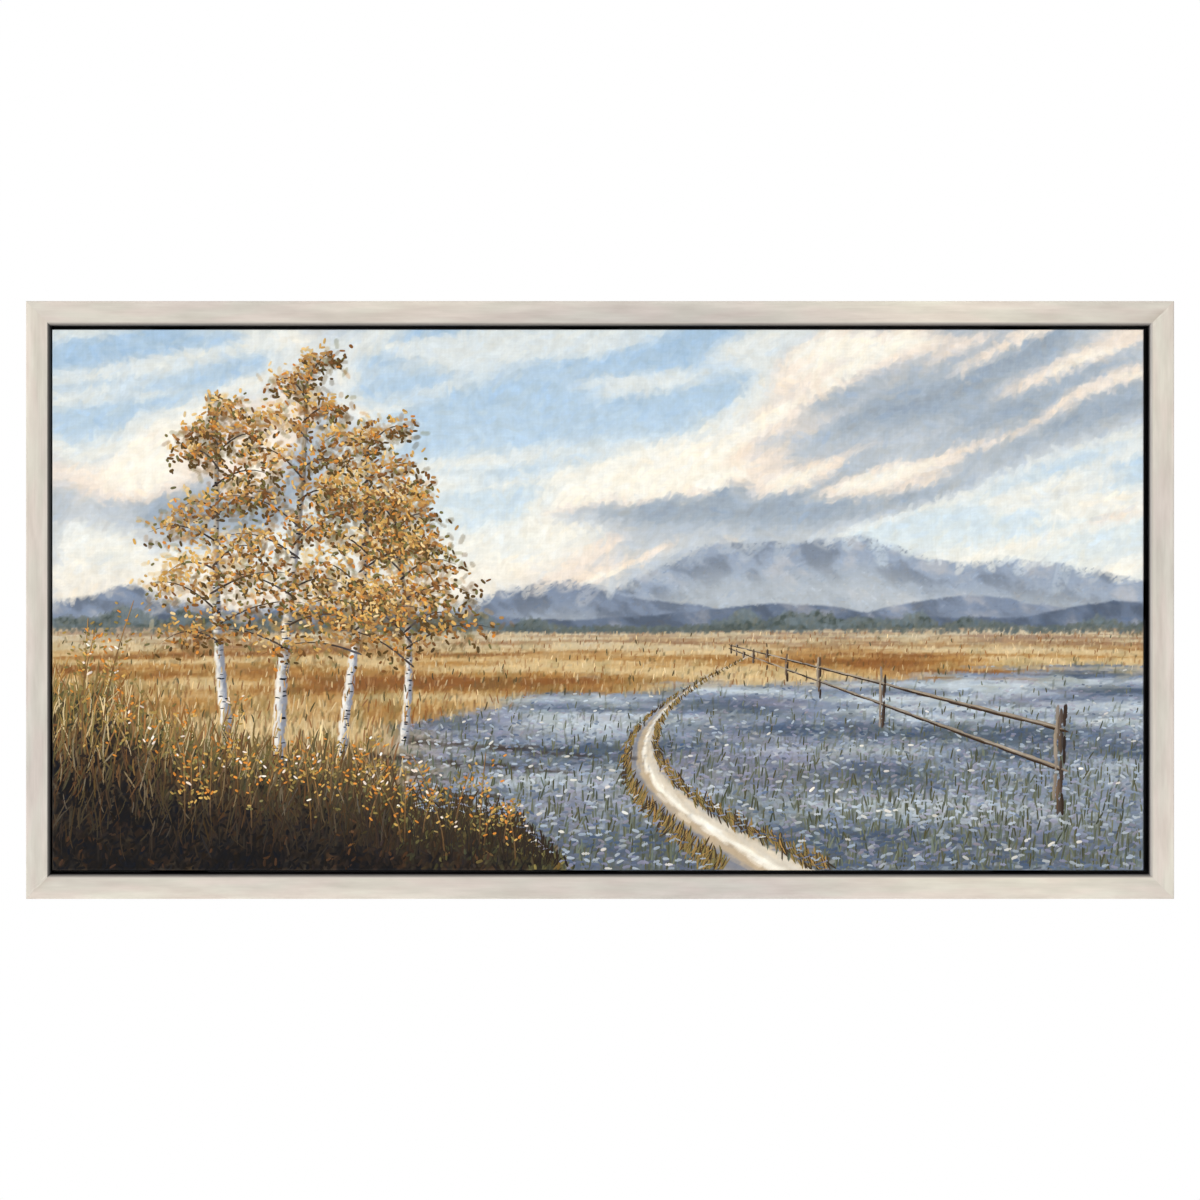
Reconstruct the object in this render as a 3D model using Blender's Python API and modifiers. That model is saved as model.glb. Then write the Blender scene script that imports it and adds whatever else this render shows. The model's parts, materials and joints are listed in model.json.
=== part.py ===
"""A canvas picture in a floater frame, hung on a wall by two sawtooth hangers.

Run it with: blender --background --python part.py

All sizes are in metres. A person who looks at the picture has +X to the right and +Z up,
and +Y points past the picture at the wall, which is the plane Y = 0. The origin is halfway
between the two hangers, on the wall, at the height of the roofs of their notches.
"""

import math

import bmesh
import bpy

# Frame: four mitred lengths of one L-shaped moulding, a wall round the picture and a ledge behind it
FRAME_WIDTH = 1.284
FRAME_HEIGHT = 0.6687
FRAME_DEPTH = 0.044
FACE_WIDTH = 0.0238
LIP_RADIUS = 0.0040
LEDGE_REACH = 0.022
LEDGE_THICKNESS = 0.008
ARRIS_RADIUS = 0.0007
FRAME_TOP = 0.020

# Picture: cloth wrapped round a stretcher, a little left of the middle of the frame
PICTURE_WIDTH = 1.2211
PICTURE_HEIGHT = 0.6051
PICTURE_SHIFT = -0.0024
PICTURE_RECESS = 0.003
CLOTH_THICKNESS = 0.0009
CLOTH_FOLD_RADIUS = 0.0012
TURN_OVER = 0.033

# Stretcher: four mitred bars whose front slopes away from the cloth, and one upright brace
BAR_WIDTH = 0.038
BAR_BEAD = 0.006
BAR_FALL = 0.003
BAR_CHAMFER = 0.001
BRACE_WIDTH = 0.038
BRACE_DEPTH = 0.018
BRACE_SETBACK = 0.007

# Screws through the ledge into the stretcher
SCREW_HEAD_RADIUS = 0.0036
SCREW_HEAD_HEIGHT = 0.0026
SCREW_HEAD_RIM = 0.0003
SCREW_SHANK_RADIUS = 0.00175
SCREW_LENGTH = 0.025
SCREW_TIP = 0.004
SCREW_INSET = 0.041
SCREW_SPACING = 0.46
RECESS_ARM = 0.0019
RECESS_WIDTH = 0.0009
RECESS_TAPER = 0.75
RECESS_DEPTH = 0.0014
FIRST_RECESS_TURN = 8.0
RECESS_TURN_STEP = 17.0

# Hangers: bent strips with teeth along the lower edge, each on two nails
HANGER_SPREAD = 0.80
HANGER_LENGTH = 0.064
HANGER_HEIGHT = 0.0125
HANGER_THICKNESS = 0.0008
HANGER_LIFT = 0.0014
HANGER_FLAT = 0.012
HANGER_RAMP = 0.003
TOOTH_COUNT = 7
TOOTH_PITCH = 0.0045
TOOTH_HEIGHT = 0.0025
NOTCH_CUT_DEPTH = 8 * HANGER_LIFT
NAIL_OFFSET = 0.026
NAIL_HEAD_RADIUS = 0.0024
NAIL_HEAD_HEIGHT = 0.0009
NAIL_HEAD_CROWN = (0.6, 0.8)
NAIL_HEAD_RIM = 0.3
NAIL_SHANK_RADIUS = 0.0006
NAIL_LENGTH = 0.012
NAIL_TIP = 0.0015

# V nails pressed across each mitre from behind
V_NAIL_WING = 0.0062
V_NAIL_THICKNESS = 0.0007
V_NAIL_DEPTH = 0.010
V_NAIL_DISTANCES = (0.014, 0.026)

# Bumpers that keep the frame off the wall
BUMPER_RADIUS = 0.0064
BUMPER_THICKNESS = 0.003
BUMPER_ROUND = 0.0007
BUMPER_FROM_SIDE = 0.070
BUMPER_FROM_EDGE = 0.0150

# Gap between pieces that touch. A nail's hole has a hair less, so that the room for its head
# stops short of the strip under it.
CLEARANCE = 0.0003
NAIL_HOLE_PLAY = 0.99 * CLEARANCE
ROUND_STEPS = 16

FRAME_BACK = -BUMPER_THICKNESS
FRAME_FRONT = FRAME_BACK - FRAME_DEPTH
FRAME_CENTRE = (0.0, FRAME_TOP - FRAME_HEIGHT / 2)
WALL_THICKNESS = FACE_WIDTH + LIP_RADIUS
LEDGE_FRONT = FRAME_BACK - LEDGE_THICKNESS

PICTURE_FRONT = FRAME_FRONT + PICTURE_RECESS
PICTURE_BACK = LEDGE_FRONT - CLEARANCE
PICTURE_CENTRE = (PICTURE_SHIFT, FRAME_CENTRE[1])

CLOTH_AND_GAP = CLOTH_THICKNESS + CLEARANCE
STRETCHER_FRONT = PICTURE_FRONT + CLOTH_AND_GAP
STRETCHER_DEPTH = PICTURE_BACK - CLOTH_AND_GAP - STRETCHER_FRONT
STRETCHER_WIDTH = PICTURE_WIDTH - 2 * CLOTH_AND_GAP
STRETCHER_HEIGHT = PICTURE_HEIGHT - 2 * CLOTH_AND_GAP

# The turn about +Y that points a bar's local +X inwards
SIDE_TURNS = {"left": 0.0, "top": 90.0, "right": 180.0, "bottom": -90.0}

MATERIALS = {
    # name: (colour, roughness, metallic)
    "limewashed_wood": ((0.70, 0.66, 0.57), 0.62, 0.0),
    "stretcher_pine": ((0.66, 0.47, 0.27), 0.70, 0.0),
    "canvas_cloth": ((0.62, 0.62, 0.56), 0.85, 0.0),
    "zinc_plated_steel": ((0.60, 0.60, 0.58), 0.35, 1.0),
    "clear_rubber": ((0.62, 0.63, 0.62), 0.45, 0.0),
}


def clear_scene():
    for obj in list(bpy.data.objects):
        bpy.data.objects.remove(obj, do_unlink=True)


def new_collection(name):
    collection = bpy.data.collections.new(name)
    bpy.context.scene.collection.children.link(collection)
    return collection


def make_material(name):
    colour, roughness, metallic = MATERIALS[name]
    material = bpy.data.materials.new(name)
    material.use_nodes = True
    shader = material.node_tree.nodes["Principled BSDF"]
    shader.inputs["Base Color"].default_value = (*colour, 1.0)
    shader.inputs["Roughness"].default_value = roughness
    shader.inputs["Metallic"].default_value = metallic
    return material


def new_object(name, mesh, material=None):
    """A part when it has a material. Without one it is a cutter, which is kept out of the render."""
    obj = bpy.data.objects.new(name, mesh)
    if material:
        PARTS.objects.link(obj)
        mesh.materials.append(bpy.data.materials[material])
    else:
        CUTTERS.objects.link(obj)
        obj.hide_render = True
        obj.display_type = "WIRE"
    return obj


def place(obj, location, turn=(0.0, 0.0, 0.0)):
    """Moves the object and turns it by these degrees about X, Y and Z."""
    obj.location = location
    obj.rotation_euler = [math.radians(angle) for angle in turn]
    return obj


def smooth(obj, sharp_degrees=35.0):
    obj.data.shade_smooth()
    obj.data.set_sharp_from_angle(angle=math.radians(sharp_degrees))


def arc(centre, radius, start, end, steps):
    """Points along a circle from the start to the end angle, in degrees."""
    angles = [math.radians(start + (end - start) * step / steps) for step in range(steps + 1)]
    return [(centre[0] + radius * math.cos(a), centre[1] + radius * math.sin(a)) for a in angles]


def extruded_outline(name, outline, length, material=None):
    """A closed outline in local X and Y, extruded by length along local Z and centred on it."""
    curve = bpy.data.curves.new(name + "_outline", "CURVE")
    curve.dimensions = "2D"
    curve.fill_mode = "BOTH"
    curve.extrude = length / 2
    spline = curve.splines.new("POLY")
    spline.points.add(len(outline) - 1)
    for point, (x, y) in zip(spline.points, outline):
        point.co = (x, y, 0.0, 1.0)
    spline.use_cyclic_u = True
    guide = bpy.data.objects.new(name + "_outline", curve)
    CUTTERS.objects.link(guide)
    graph = bpy.context.evaluated_depsgraph_get()
    mesh = bpy.data.meshes.new_from_object(guide.evaluated_get(graph))
    mesh.name = name

    bm = bmesh.new()
    bm.from_mesh(mesh)
    bmesh.ops.remove_doubles(bm, verts=bm.verts, dist=1e-6)
    bmesh.ops.recalc_face_normals(bm, faces=bm.faces)
    bm.to_mesh(mesh)
    bm.free()

    obj = new_object(name, mesh, material)
    obj.matrix_world = guide.matrix_world
    bpy.data.objects.remove(guide)
    bpy.data.curves.remove(curve)
    return obj


def turned(name, profile, material=None):
    """A profile of radii and heights, from the top down its outer side, turned about local Z."""
    mesh = bpy.data.meshes.new(name)
    points = [(radius, 0.0, height) for radius, height in profile]
    mesh.from_pydata(points, [(i, i + 1) for i in range(len(points) - 1)], [])
    obj = new_object(name, mesh, material)
    spin = obj.modifiers.new("turn", "SCREW")
    spin.steps = spin.render_steps = ROUND_STEPS
    spin.use_merge_vertices = True
    spin.merge_threshold = 1e-6
    spin.use_smooth_shade = True
    return obj


def block(name, size, material=None):
    bm = bmesh.new()
    bmesh.ops.create_cube(bm, size=1.0)
    bmesh.ops.scale(bm, vec=size, verts=bm.verts)
    mesh = bpy.data.meshes.new(name)
    bm.to_mesh(mesh)
    bm.free()
    return new_object(name, mesh, material)


def cut(target, cutter):
    hole = target.modifiers.new("cut " + cutter.name, "BOOLEAN")
    hole.operation = "DIFFERENCE"
    hole.solver = "EXACT"
    hole.object = cutter


def mitred_bar(name, outline, centre, width, height, front, side, material):
    """One side of a mitred rectangle. The outline runs inwards along X and back along Y."""
    upright = side in ("left", "right")
    bar = extruded_outline(name, outline, height if upright else width, material)
    for vertex in bar.data.vertices:
        mitre = vertex.co.x + CLEARANCE / math.sqrt(2)
        vertex.co.z -= math.copysign(mitre, vertex.co.z)
    x = centre[0] + {"left": -width / 2, "right": width / 2}.get(side, 0.0)
    z = centre[1] + {"bottom": -height / 2, "top": height / 2}.get(side, 0.0)
    return place(bar, (x, front, z), (0.0, SIDE_TURNS[side], 0.0))


def make_frame():
    """The wall's outer edges are eased, and its inner front edge is rounded over to a wide lip."""
    back = FRAME_DEPTH - ARRIS_RADIUS
    outline = [
        *arc((ARRIS_RADIUS, ARRIS_RADIUS), ARRIS_RADIUS, 180, 270, 3),
        *arc((FACE_WIDTH, LIP_RADIUS), LIP_RADIUS, 270, 360, 4),
        (WALL_THICKNESS, FRAME_DEPTH - LEDGE_THICKNESS),
        (WALL_THICKNESS + LEDGE_REACH, FRAME_DEPTH - LEDGE_THICKNESS),
        (WALL_THICKNESS + LEDGE_REACH, FRAME_DEPTH),
        *arc((ARRIS_RADIUS, back), ARRIS_RADIUS, 90, 180, 3),
    ]
    rails = {}
    for side in SIDE_TURNS:
        rails[side] = mitred_bar(
            "frame_rail_" + side, outline, FRAME_CENTRE, FRAME_WIDTH, FRAME_HEIGHT,
            FRAME_FRONT, side, "limewashed_wood",
        )
        smooth(rails[side])
    return rails


def make_stretcher():
    """Only a bead along each bar's outer edge comes near the cloth. The rest of its front falls away."""
    outline = [
        (0.0, BAR_CHAMFER),
        (BAR_CHAMFER, 0.0),
        (BAR_BEAD, 0.0),
        (BAR_WIDTH, BAR_FALL),
        (BAR_WIDTH, STRETCHER_DEPTH),
        (BAR_CHAMFER, STRETCHER_DEPTH),
        (0.0, STRETCHER_DEPTH - BAR_CHAMFER),
    ]
    bars = {}
    for side in SIDE_TURNS:
        bars[side] = mitred_bar(
            "stretcher_bar_" + side, outline, PICTURE_CENTRE, STRETCHER_WIDTH, STRETCHER_HEIGHT,
            STRETCHER_FRONT, side, "stretcher_pine",
        )
    brace_height = STRETCHER_HEIGHT - 2 * (BAR_WIDTH + CLEARANCE)
    brace = block("stretcher_brace", (BRACE_WIDTH, BRACE_DEPTH, brace_height), "stretcher_pine")
    edges = brace.modifiers.new("eased edges", "BEVEL")
    edges.width = BAR_CHAMFER
    edges.segments = 1
    depth = STRETCHER_FRONT + BRACE_SETBACK + BRACE_DEPTH / 2
    place(brace, (PICTURE_CENTRE[0], depth, PICTURE_CENTRE[1]))
    return bars


def make_canvas():
    """One sheet over the front, round the sides and turned over behind, open at the back."""
    bm = bmesh.new()
    depth = PICTURE_BACK - PICTURE_FRONT
    bmesh.ops.create_cube(bm, size=1.0)
    bmesh.ops.scale(bm, vec=(PICTURE_WIDTH, depth, PICTURE_HEIGHT), verts=bm.verts)
    bmesh.ops.bevel(
        bm, geom=list(bm.edges), offset=CLOTH_FOLD_RADIUS, segments=2, profile=0.5,
        affect="EDGES",
    )
    back = max(bm.faces, key=lambda face: face.calc_center_median().y)
    bmesh.ops.inset_region(bm, faces=[back], thickness=TURN_OVER - CLOTH_FOLD_RADIUS)
    bmesh.ops.delete(bm, geom=[back], context="FACES")
    mesh = bpy.data.meshes.new("canvas")
    bm.to_mesh(mesh)
    bm.free()
    canvas = new_object("canvas", mesh, "canvas_cloth")
    cloth = canvas.modifiers.new("cloth", "SOLIDIFY")
    cloth.thickness = CLOTH_THICKNESS
    cloth.offset = -1.0
    cloth.use_even_offset = True
    place(canvas, (PICTURE_CENTRE[0], (PICTURE_FRONT + PICTURE_BACK) / 2, PICTURE_CENTRE[1]))
    smooth(canvas)
    return canvas


def screw_profile(play):
    """A countersunk wood screw with its head's top at height 0, made larger all round by play."""
    head_bottom = -SCREW_HEAD_HEIGHT - play
    return [
        (0.0, play),
        (SCREW_HEAD_RADIUS + play, play),
        (SCREW_HEAD_RADIUS + play, -SCREW_HEAD_RIM),
        (SCREW_SHANK_RADIUS + play, head_bottom),
        (SCREW_SHANK_RADIUS + play, -SCREW_LENGTH + SCREW_TIP),
        (0.0, -SCREW_LENGTH - play),
    ]


def screw_places():
    """Where each screw stands, as (side it is in, x, z). The long sides have three and the short ones one."""
    half_width = FRAME_WIDTH / 2 - SCREW_INSET
    half_height = FRAME_HEIGHT / 2 - SCREW_INSET
    for side, up in (("top", 1), ("bottom", -1)):
        for step in (-1, 0, 1):
            yield side, step * SCREW_SPACING, FRAME_CENTRE[1] + up * half_height
    for side, right in (("left", -1), ("right", 1)):
        yield side, right * half_width, FRAME_CENTRE[1]


def make_screws(rails, bars, canvas):
    """Each screw goes through the ledge and the turned-over cloth into a bar, in a hole with play."""
    arm, half = RECESS_ARM, RECESS_WIDTH / 2
    tip = RECESS_TAPER * half
    corner = [(arm, -tip), (arm, tip), (half, half)]
    cross = []
    for _ in range(4):
        cross += corner
        corner = [(-y, x) for x, y in corner]
    for number, (side, x, z) in enumerate(screw_places(), start=1):
        screw = turned(f"fixing_screw_{number}", screw_profile(0.0), "zinc_plated_steel")
        hole = turned(f"screw_hole_{number}", screw_profile(CLEARANCE))
        recess = extruded_outline(f"screw_recess_{number}", cross, 2 * RECESS_DEPTH)
        turn = FIRST_RECESS_TURN + number * RECESS_TURN_STEP
        for piece in (screw, hole, recess):
            place(piece, (x, FRAME_BACK - CLEARANCE, z), (-90.0, turn, 0.0))
        cut(screw, recess)
        for target in (rails[side], bars[side], canvas):
            cut(target, hole)


def nail_profile(play):
    """A nail with its head's flat underside at height 0, made larger all round by play."""
    return [
        (0.0, NAIL_HEAD_HEIGHT + play),
        (NAIL_HEAD_CROWN[0] * NAIL_HEAD_RADIUS, NAIL_HEAD_CROWN[1] * NAIL_HEAD_HEIGHT + play),
        (NAIL_HEAD_RADIUS + play, NAIL_HEAD_RIM * NAIL_HEAD_HEIGHT),
        (NAIL_HEAD_RADIUS + play, -play),
        (NAIL_SHANK_RADIUS + play, -play),
        (NAIL_SHANK_RADIUS + play, -NAIL_LENGTH + NAIL_TIP),
        (0.0, -NAIL_LENGTH - play),
    ]


def hanger_outline():
    """The strip from above: flat ends on the wood, and a middle that stands off it."""
    half = HANGER_LENGTH / 2
    foot = half - HANGER_FLAT
    rise = foot - HANGER_RAMP
    near = [(-half, 0.0), (-foot, 0.0), (-rise, HANGER_LIFT), (rise, HANGER_LIFT), (foot, 0.0), (half, 0.0)]
    far = [(x, y + HANGER_THICKNESS) for x, y in reversed(near)]
    return near + far


def tooth_cutter_outline():
    """What is cut from the strip's lower edge, in X and Z: a notch between each two teeth."""
    half = TOOTH_COUNT * TOOTH_PITCH / 2
    below = -2 * TOOTH_HEIGHT
    outline = [(-half, below), (half, below)]
    for tooth in range(TOOTH_COUNT):
        right = half - tooth * TOOTH_PITCH
        outline += [(right, -TOOTH_HEIGHT), (right - TOOTH_PITCH / 2, 0.0)]
    return outline + [(-half, -TOOTH_HEIGHT)]


def make_hangers(rail):
    """Two strips on the top rail's back. The picture's weight hangs from the roofs of their notches."""
    strip_bottom = FRAME_BACK + CLEARANCE
    for name, x in (("left", -HANGER_SPREAD / 2), ("right", HANGER_SPREAD / 2)):
        hanger = extruded_outline(
            "sawtooth_hanger_" + name, hanger_outline(), HANGER_HEIGHT, "zinc_plated_steel"
        )
        place(hanger, (x, strip_bottom, HANGER_HEIGHT / 2 - TOOTH_HEIGHT))
        notches = extruded_outline("hanger_notches_" + name, tooth_cutter_outline(), NOTCH_CUT_DEPTH)
        place(notches, (x, strip_bottom, 0.0), (90.0, 0.0, 0.0))
        cut(hanger, notches)
        height = HANGER_HEIGHT / 2 - TOOTH_HEIGHT
        head = strip_bottom + HANGER_THICKNESS + CLEARANCE
        for end, offset in (("left", -NAIL_OFFSET), ("right", NAIL_OFFSET)):
            nail = turned(f"hanger_nail_{name}_{end}", nail_profile(0.0), "zinc_plated_steel")
            hole = turned(f"nail_hole_{name}_{end}", nail_profile(NAIL_HOLE_PLAY))
            for piece in (nail, hole):
                place(piece, (x + offset, head, height), (-90.0, 0.0, 0.0))
            cut(hanger, hole)
            cut(rail, hole)


def v_outline(play):
    """A V in X and Z whose point is at the origin and whose wings run to +X, as wide as its metal."""
    half = V_NAIL_THICKNESS / math.sqrt(2) + play * math.sqrt(2)
    wing = V_NAIL_WING / math.sqrt(2) + play / math.sqrt(2)
    lip = half / 2
    return [
        (-half, 0.0),
        (wing - lip, -wing - lip),
        (wing + lip, -wing + lip),
        (half, 0.0),
        (wing + lip, wing - lip),
        (wing - lip, wing + lip),
    ]


def make_v_nails(rails):
    """Each V stands on a mitre with its point towards the outer corner, and holds both rails."""
    for column, across in (("left", -1), ("right", 1)):
        for row, up in (("bottom", -1), ("top", 1)):
            turn = math.degrees(math.atan2(-up, -across))
            for number, distance in enumerate(V_NAIL_DISTANCES, start=1):
                inset = distance / math.sqrt(2)
                x = across * (FRAME_WIDTH / 2 - inset)
                z = FRAME_CENTRE[1] + up * (FRAME_HEIGHT / 2 - inset)
                name = f"{row}_{column}_{number}"
                nail = extruded_outline(
                    "v_nail_" + name, v_outline(0.0), V_NAIL_DEPTH, "zinc_plated_steel"
                )
                slot = extruded_outline(
                    "v_slot_" + name, v_outline(CLEARANCE), V_NAIL_DEPTH + 2 * CLEARANCE
                )
                depth = FRAME_BACK - CLEARANCE - V_NAIL_DEPTH / 2
                for piece in (nail, slot):
                    place(piece, (x, depth, z), (90.0, -turn, 0.0))
                slot.location.y += CLEARANCE
                cut(rails[column], slot)
                cut(rails[row], slot)


def make_bumpers():
    """Soft round feet near the corners, whose flat backs lie against the wall."""
    for column, across in (("left", -1), ("right", 1)):
        for row, up in (("bottom", -1), ("top", 1)):
            outline = [
                (0.0, 0.0),
                (BUMPER_RADIUS - BUMPER_ROUND, 0.0),
                (BUMPER_RADIUS, -BUMPER_ROUND),
                (BUMPER_RADIUS, -BUMPER_THICKNESS + CLEARANCE),
                (0.0, -BUMPER_THICKNESS + CLEARANCE),
            ]
            bumper = turned(f"wall_bumper_{row}_{column}", outline, "clear_rubber")
            x = across * (FRAME_WIDTH / 2 - BUMPER_FROM_SIDE)
            z = FRAME_CENTRE[1] + up * (FRAME_HEIGHT / 2 - BUMPER_FROM_EDGE)
            place(bumper, (x, 0.0, z), (-90.0, 0.0, 0.0))


def main():
    for name in MATERIALS:
        make_material(name)
    rails = make_frame()
    bars = make_stretcher()
    canvas = make_canvas()
    make_screws(rails, bars, canvas)
    make_hangers(rails["top"])
    make_v_nails(rails)
    make_bumpers()


clear_scene()
PARTS = new_collection("framed_canvas_picture")
CUTTERS = new_collection("cutters")
main()
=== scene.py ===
"""Looks of a canvas picture in a limewashed floater frame.

The frame is cream limewashed poplar with a black channel round the picture. The picture is a
stretched canvas with a countryside built up from raised brush marks. Behind are bare wood,
raw cloth, staples and zinc plated fittings.
"""

import json
import math

import bmesh
import bpy
import numpy as np
from mathutils import Matrix, Vector

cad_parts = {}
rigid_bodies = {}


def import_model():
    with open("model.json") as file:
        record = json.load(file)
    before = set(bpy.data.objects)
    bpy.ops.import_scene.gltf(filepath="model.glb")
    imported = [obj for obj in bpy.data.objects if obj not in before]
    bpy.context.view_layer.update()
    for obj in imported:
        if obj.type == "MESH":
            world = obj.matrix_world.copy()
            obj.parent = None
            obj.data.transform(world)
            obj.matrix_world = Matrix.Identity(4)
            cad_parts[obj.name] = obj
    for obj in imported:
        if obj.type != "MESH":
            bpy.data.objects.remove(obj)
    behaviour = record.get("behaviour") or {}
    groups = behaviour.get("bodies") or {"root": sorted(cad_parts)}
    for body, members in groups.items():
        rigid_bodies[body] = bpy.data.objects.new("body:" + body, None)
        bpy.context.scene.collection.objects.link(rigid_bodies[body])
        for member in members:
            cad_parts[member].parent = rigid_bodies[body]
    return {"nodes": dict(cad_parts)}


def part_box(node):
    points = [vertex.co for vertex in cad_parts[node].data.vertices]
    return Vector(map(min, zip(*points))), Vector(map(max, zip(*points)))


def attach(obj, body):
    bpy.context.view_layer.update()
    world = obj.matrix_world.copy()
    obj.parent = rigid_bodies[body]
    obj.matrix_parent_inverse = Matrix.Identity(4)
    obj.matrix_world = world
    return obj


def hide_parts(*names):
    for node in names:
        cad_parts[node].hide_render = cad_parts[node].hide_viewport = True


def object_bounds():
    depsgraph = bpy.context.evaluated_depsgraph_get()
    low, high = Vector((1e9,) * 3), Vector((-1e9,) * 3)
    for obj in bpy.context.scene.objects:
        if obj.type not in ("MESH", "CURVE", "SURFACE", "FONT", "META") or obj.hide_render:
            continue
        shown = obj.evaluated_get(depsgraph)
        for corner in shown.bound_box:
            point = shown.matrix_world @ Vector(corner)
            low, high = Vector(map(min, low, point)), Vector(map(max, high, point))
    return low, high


for leftover in list(bpy.data.objects):
    bpy.data.objects.remove(leftover)

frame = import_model()
CAD_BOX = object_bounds()

FOLD_RADIUS = 0.0010
FILM_INSET = 0.0002

# The frame's moulding, in metres: the places that its solids' boxes can't tell
FACE_WIDTH = 0.0238
LIP_RADIUS = 0.0040
LEDGE_THICKNESS = 0.008
ARRIS_RADIUS = 0.0007
MITRE_GAP = 0.00002
TURN_OVER = 0.033
# Wear at the mitres reaches this far along each rail
MITRE_WEAR = 0.016
# The black feathers out round the lip between these distances from the face, and its edge wanders
PAINT_EDGE = (0.0006, 0.0118)
PAINT_WANDER = 0.0004
# How much farther the black reaches over the left rail's lip: painted shade on the side turned from the key
# light
LEFT_LIP_PAINTED_SHADE = 0.0025

CANVAS_LOW, CANVAS_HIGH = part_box("canvas")
PICTURE_WIDTH = CANVAS_HIGH.x - CANVAS_LOW.x
PICTURE_HEIGHT = CANVAS_HIGH.z - CANVAS_LOW.z
PICTURE_FRONT = CANVAS_LOW.y

FRAME_LOW = Vector([min(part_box("frame_rail_" + side)[0][i] for side in ("left", "bottom")) for i in range(3)])
FRAME_HIGH = Vector([max(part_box("frame_rail_" + side)[1][i] for side in ("right", "top")) for i in range(3)])
FRAME_MIDDLE = (CAD_BOX[0] + CAD_BOX[1]) / 2
CANVAS_CENTRE = ((CANVAS_LOW.x + CANVAS_HIGH.x) / 2, (CANVAS_LOW.z + CANVAS_HIGH.z) / 2)
FRAME_WIDTH = CAD_BOX[1].x - CAD_BOX[0].x
FRAME_HEIGHT = CAD_BOX[1].z - CAD_BOX[0].z
FRAME_DEPTH = FRAME_HIGH.y - FRAME_LOW.y
RAIL_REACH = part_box("frame_rail_left")[1].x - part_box("frame_rail_left")[0].x


# ---------------------------------------------------------------- colour

def srgb(colour):
    """An sRGB hex colour as an array of three numbers from 0 to 1."""
    return np.array([int(colour[i:i + 2], 16) / 255 for i in (1, 3, 5)])


def linear(colour):
    """sRGB hex, or an array of sRGB numbers, as linear light."""
    if isinstance(colour, str):
        colour = srgb(colour)
    colour = np.clip(colour, 0.0, 1.0)
    return np.where(colour <= 0.04045, colour / 12.92, ((colour + 0.055) / 1.055) ** 2.4)


def rgba(colour):
    return (*linear(colour).tolist(), 1.0)


# ---------------------------------------------------------------- materials

def add(tree, kind, inputs=None, ramp=None, **settings):
    """A node of this kind. An input that is a socket is linked, and any other is set.
    ramp is (place, colour) pairs."""
    node = tree.nodes.new("ShaderNode" + kind)
    for setting, value in settings.items():
        setattr(node, setting, value)
    for socket, value in (inputs or {}).items():
        if isinstance(value, bpy.types.NodeSocket):
            tree.links.new(value, node.inputs[socket])
        else:
            node.inputs[socket].default_value = value
    for number, (place, colour) in enumerate(ramp or []):
        elements = node.color_ramp.elements
        element = elements[number] if number < len(elements) else elements.new(place)
        element.position = place
        element.color = rgba(colour)
    return node


def new_material(name, roughness, ior=1.5, metallic=0.0):
    material = bpy.data.materials.new(name)
    material.use_nodes = True
    shader = material.node_tree.nodes["Principled BSDF"]
    shader.inputs["Roughness"].default_value = roughness
    shader.inputs["IOR"].default_value = ior
    shader.inputs["Metallic"].default_value = metallic
    return material, material.node_tree, shader


def per_metre(*millimetres):
    """The repeats in a metre of patterns of these sizes."""
    return tuple(1000.0 / size for size in millimetres)


def drawn_out(tree, place, millimetres, shift=(0.0, 0.0, 0.0), **noise):
    """Random patches of this size each way, as a number from 0 to 1. Another shift gives other patches."""
    scale = per_metre(*millimetres) + (1.0,) * (3 - len(millimetres))
    run = add(tree, "Mapping", {"Vector": place, "Scale": scale, "Location": shift})
    return add(tree, "TexNoise", {"Vector": run.outputs[0], "Scale": 1.0, **noise}).outputs["Fac"]


def toned_by(tree, colour, pattern, ramp, share=1.0):
    """The colour under a thin tone that follows the pattern, which is as strong as this share."""
    tone = add(tree, "ValToRGB", {"Fac": pattern}, ramp=ramp).outputs[0]
    return add(
        tree, "MixRGB", {"Fac": share, "Color1": colour, "Color2": tone}, blend_type="MULTIPLY",
    ).outputs[0]


def finish(tree, shader, colour, sheen=None, roughness=(0.0, 1.0), height=None, strength=0.0, depth=0.0):
    """Gives the surface its colour. With a sheen its roughness runs between these two, and with a height
    it has this relief, as deep in metres as depth says."""
    tree.links.new(colour, shader.inputs["Base Color"])
    if sheen is not None:
        rough = add(tree, "MapRange", {"Value": sheen, "To Min": roughness[0], "To Max": roughness[1]})
        tree.links.new(rough.outputs[0], shader.inputs["Roughness"])
    if height is not None:
        relief = add(tree, "Bump", {"Height": height, "Strength": strength, "Distance": depth})
        tree.links.new(relief.outputs[0], shader.inputs["Normal"])


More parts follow.
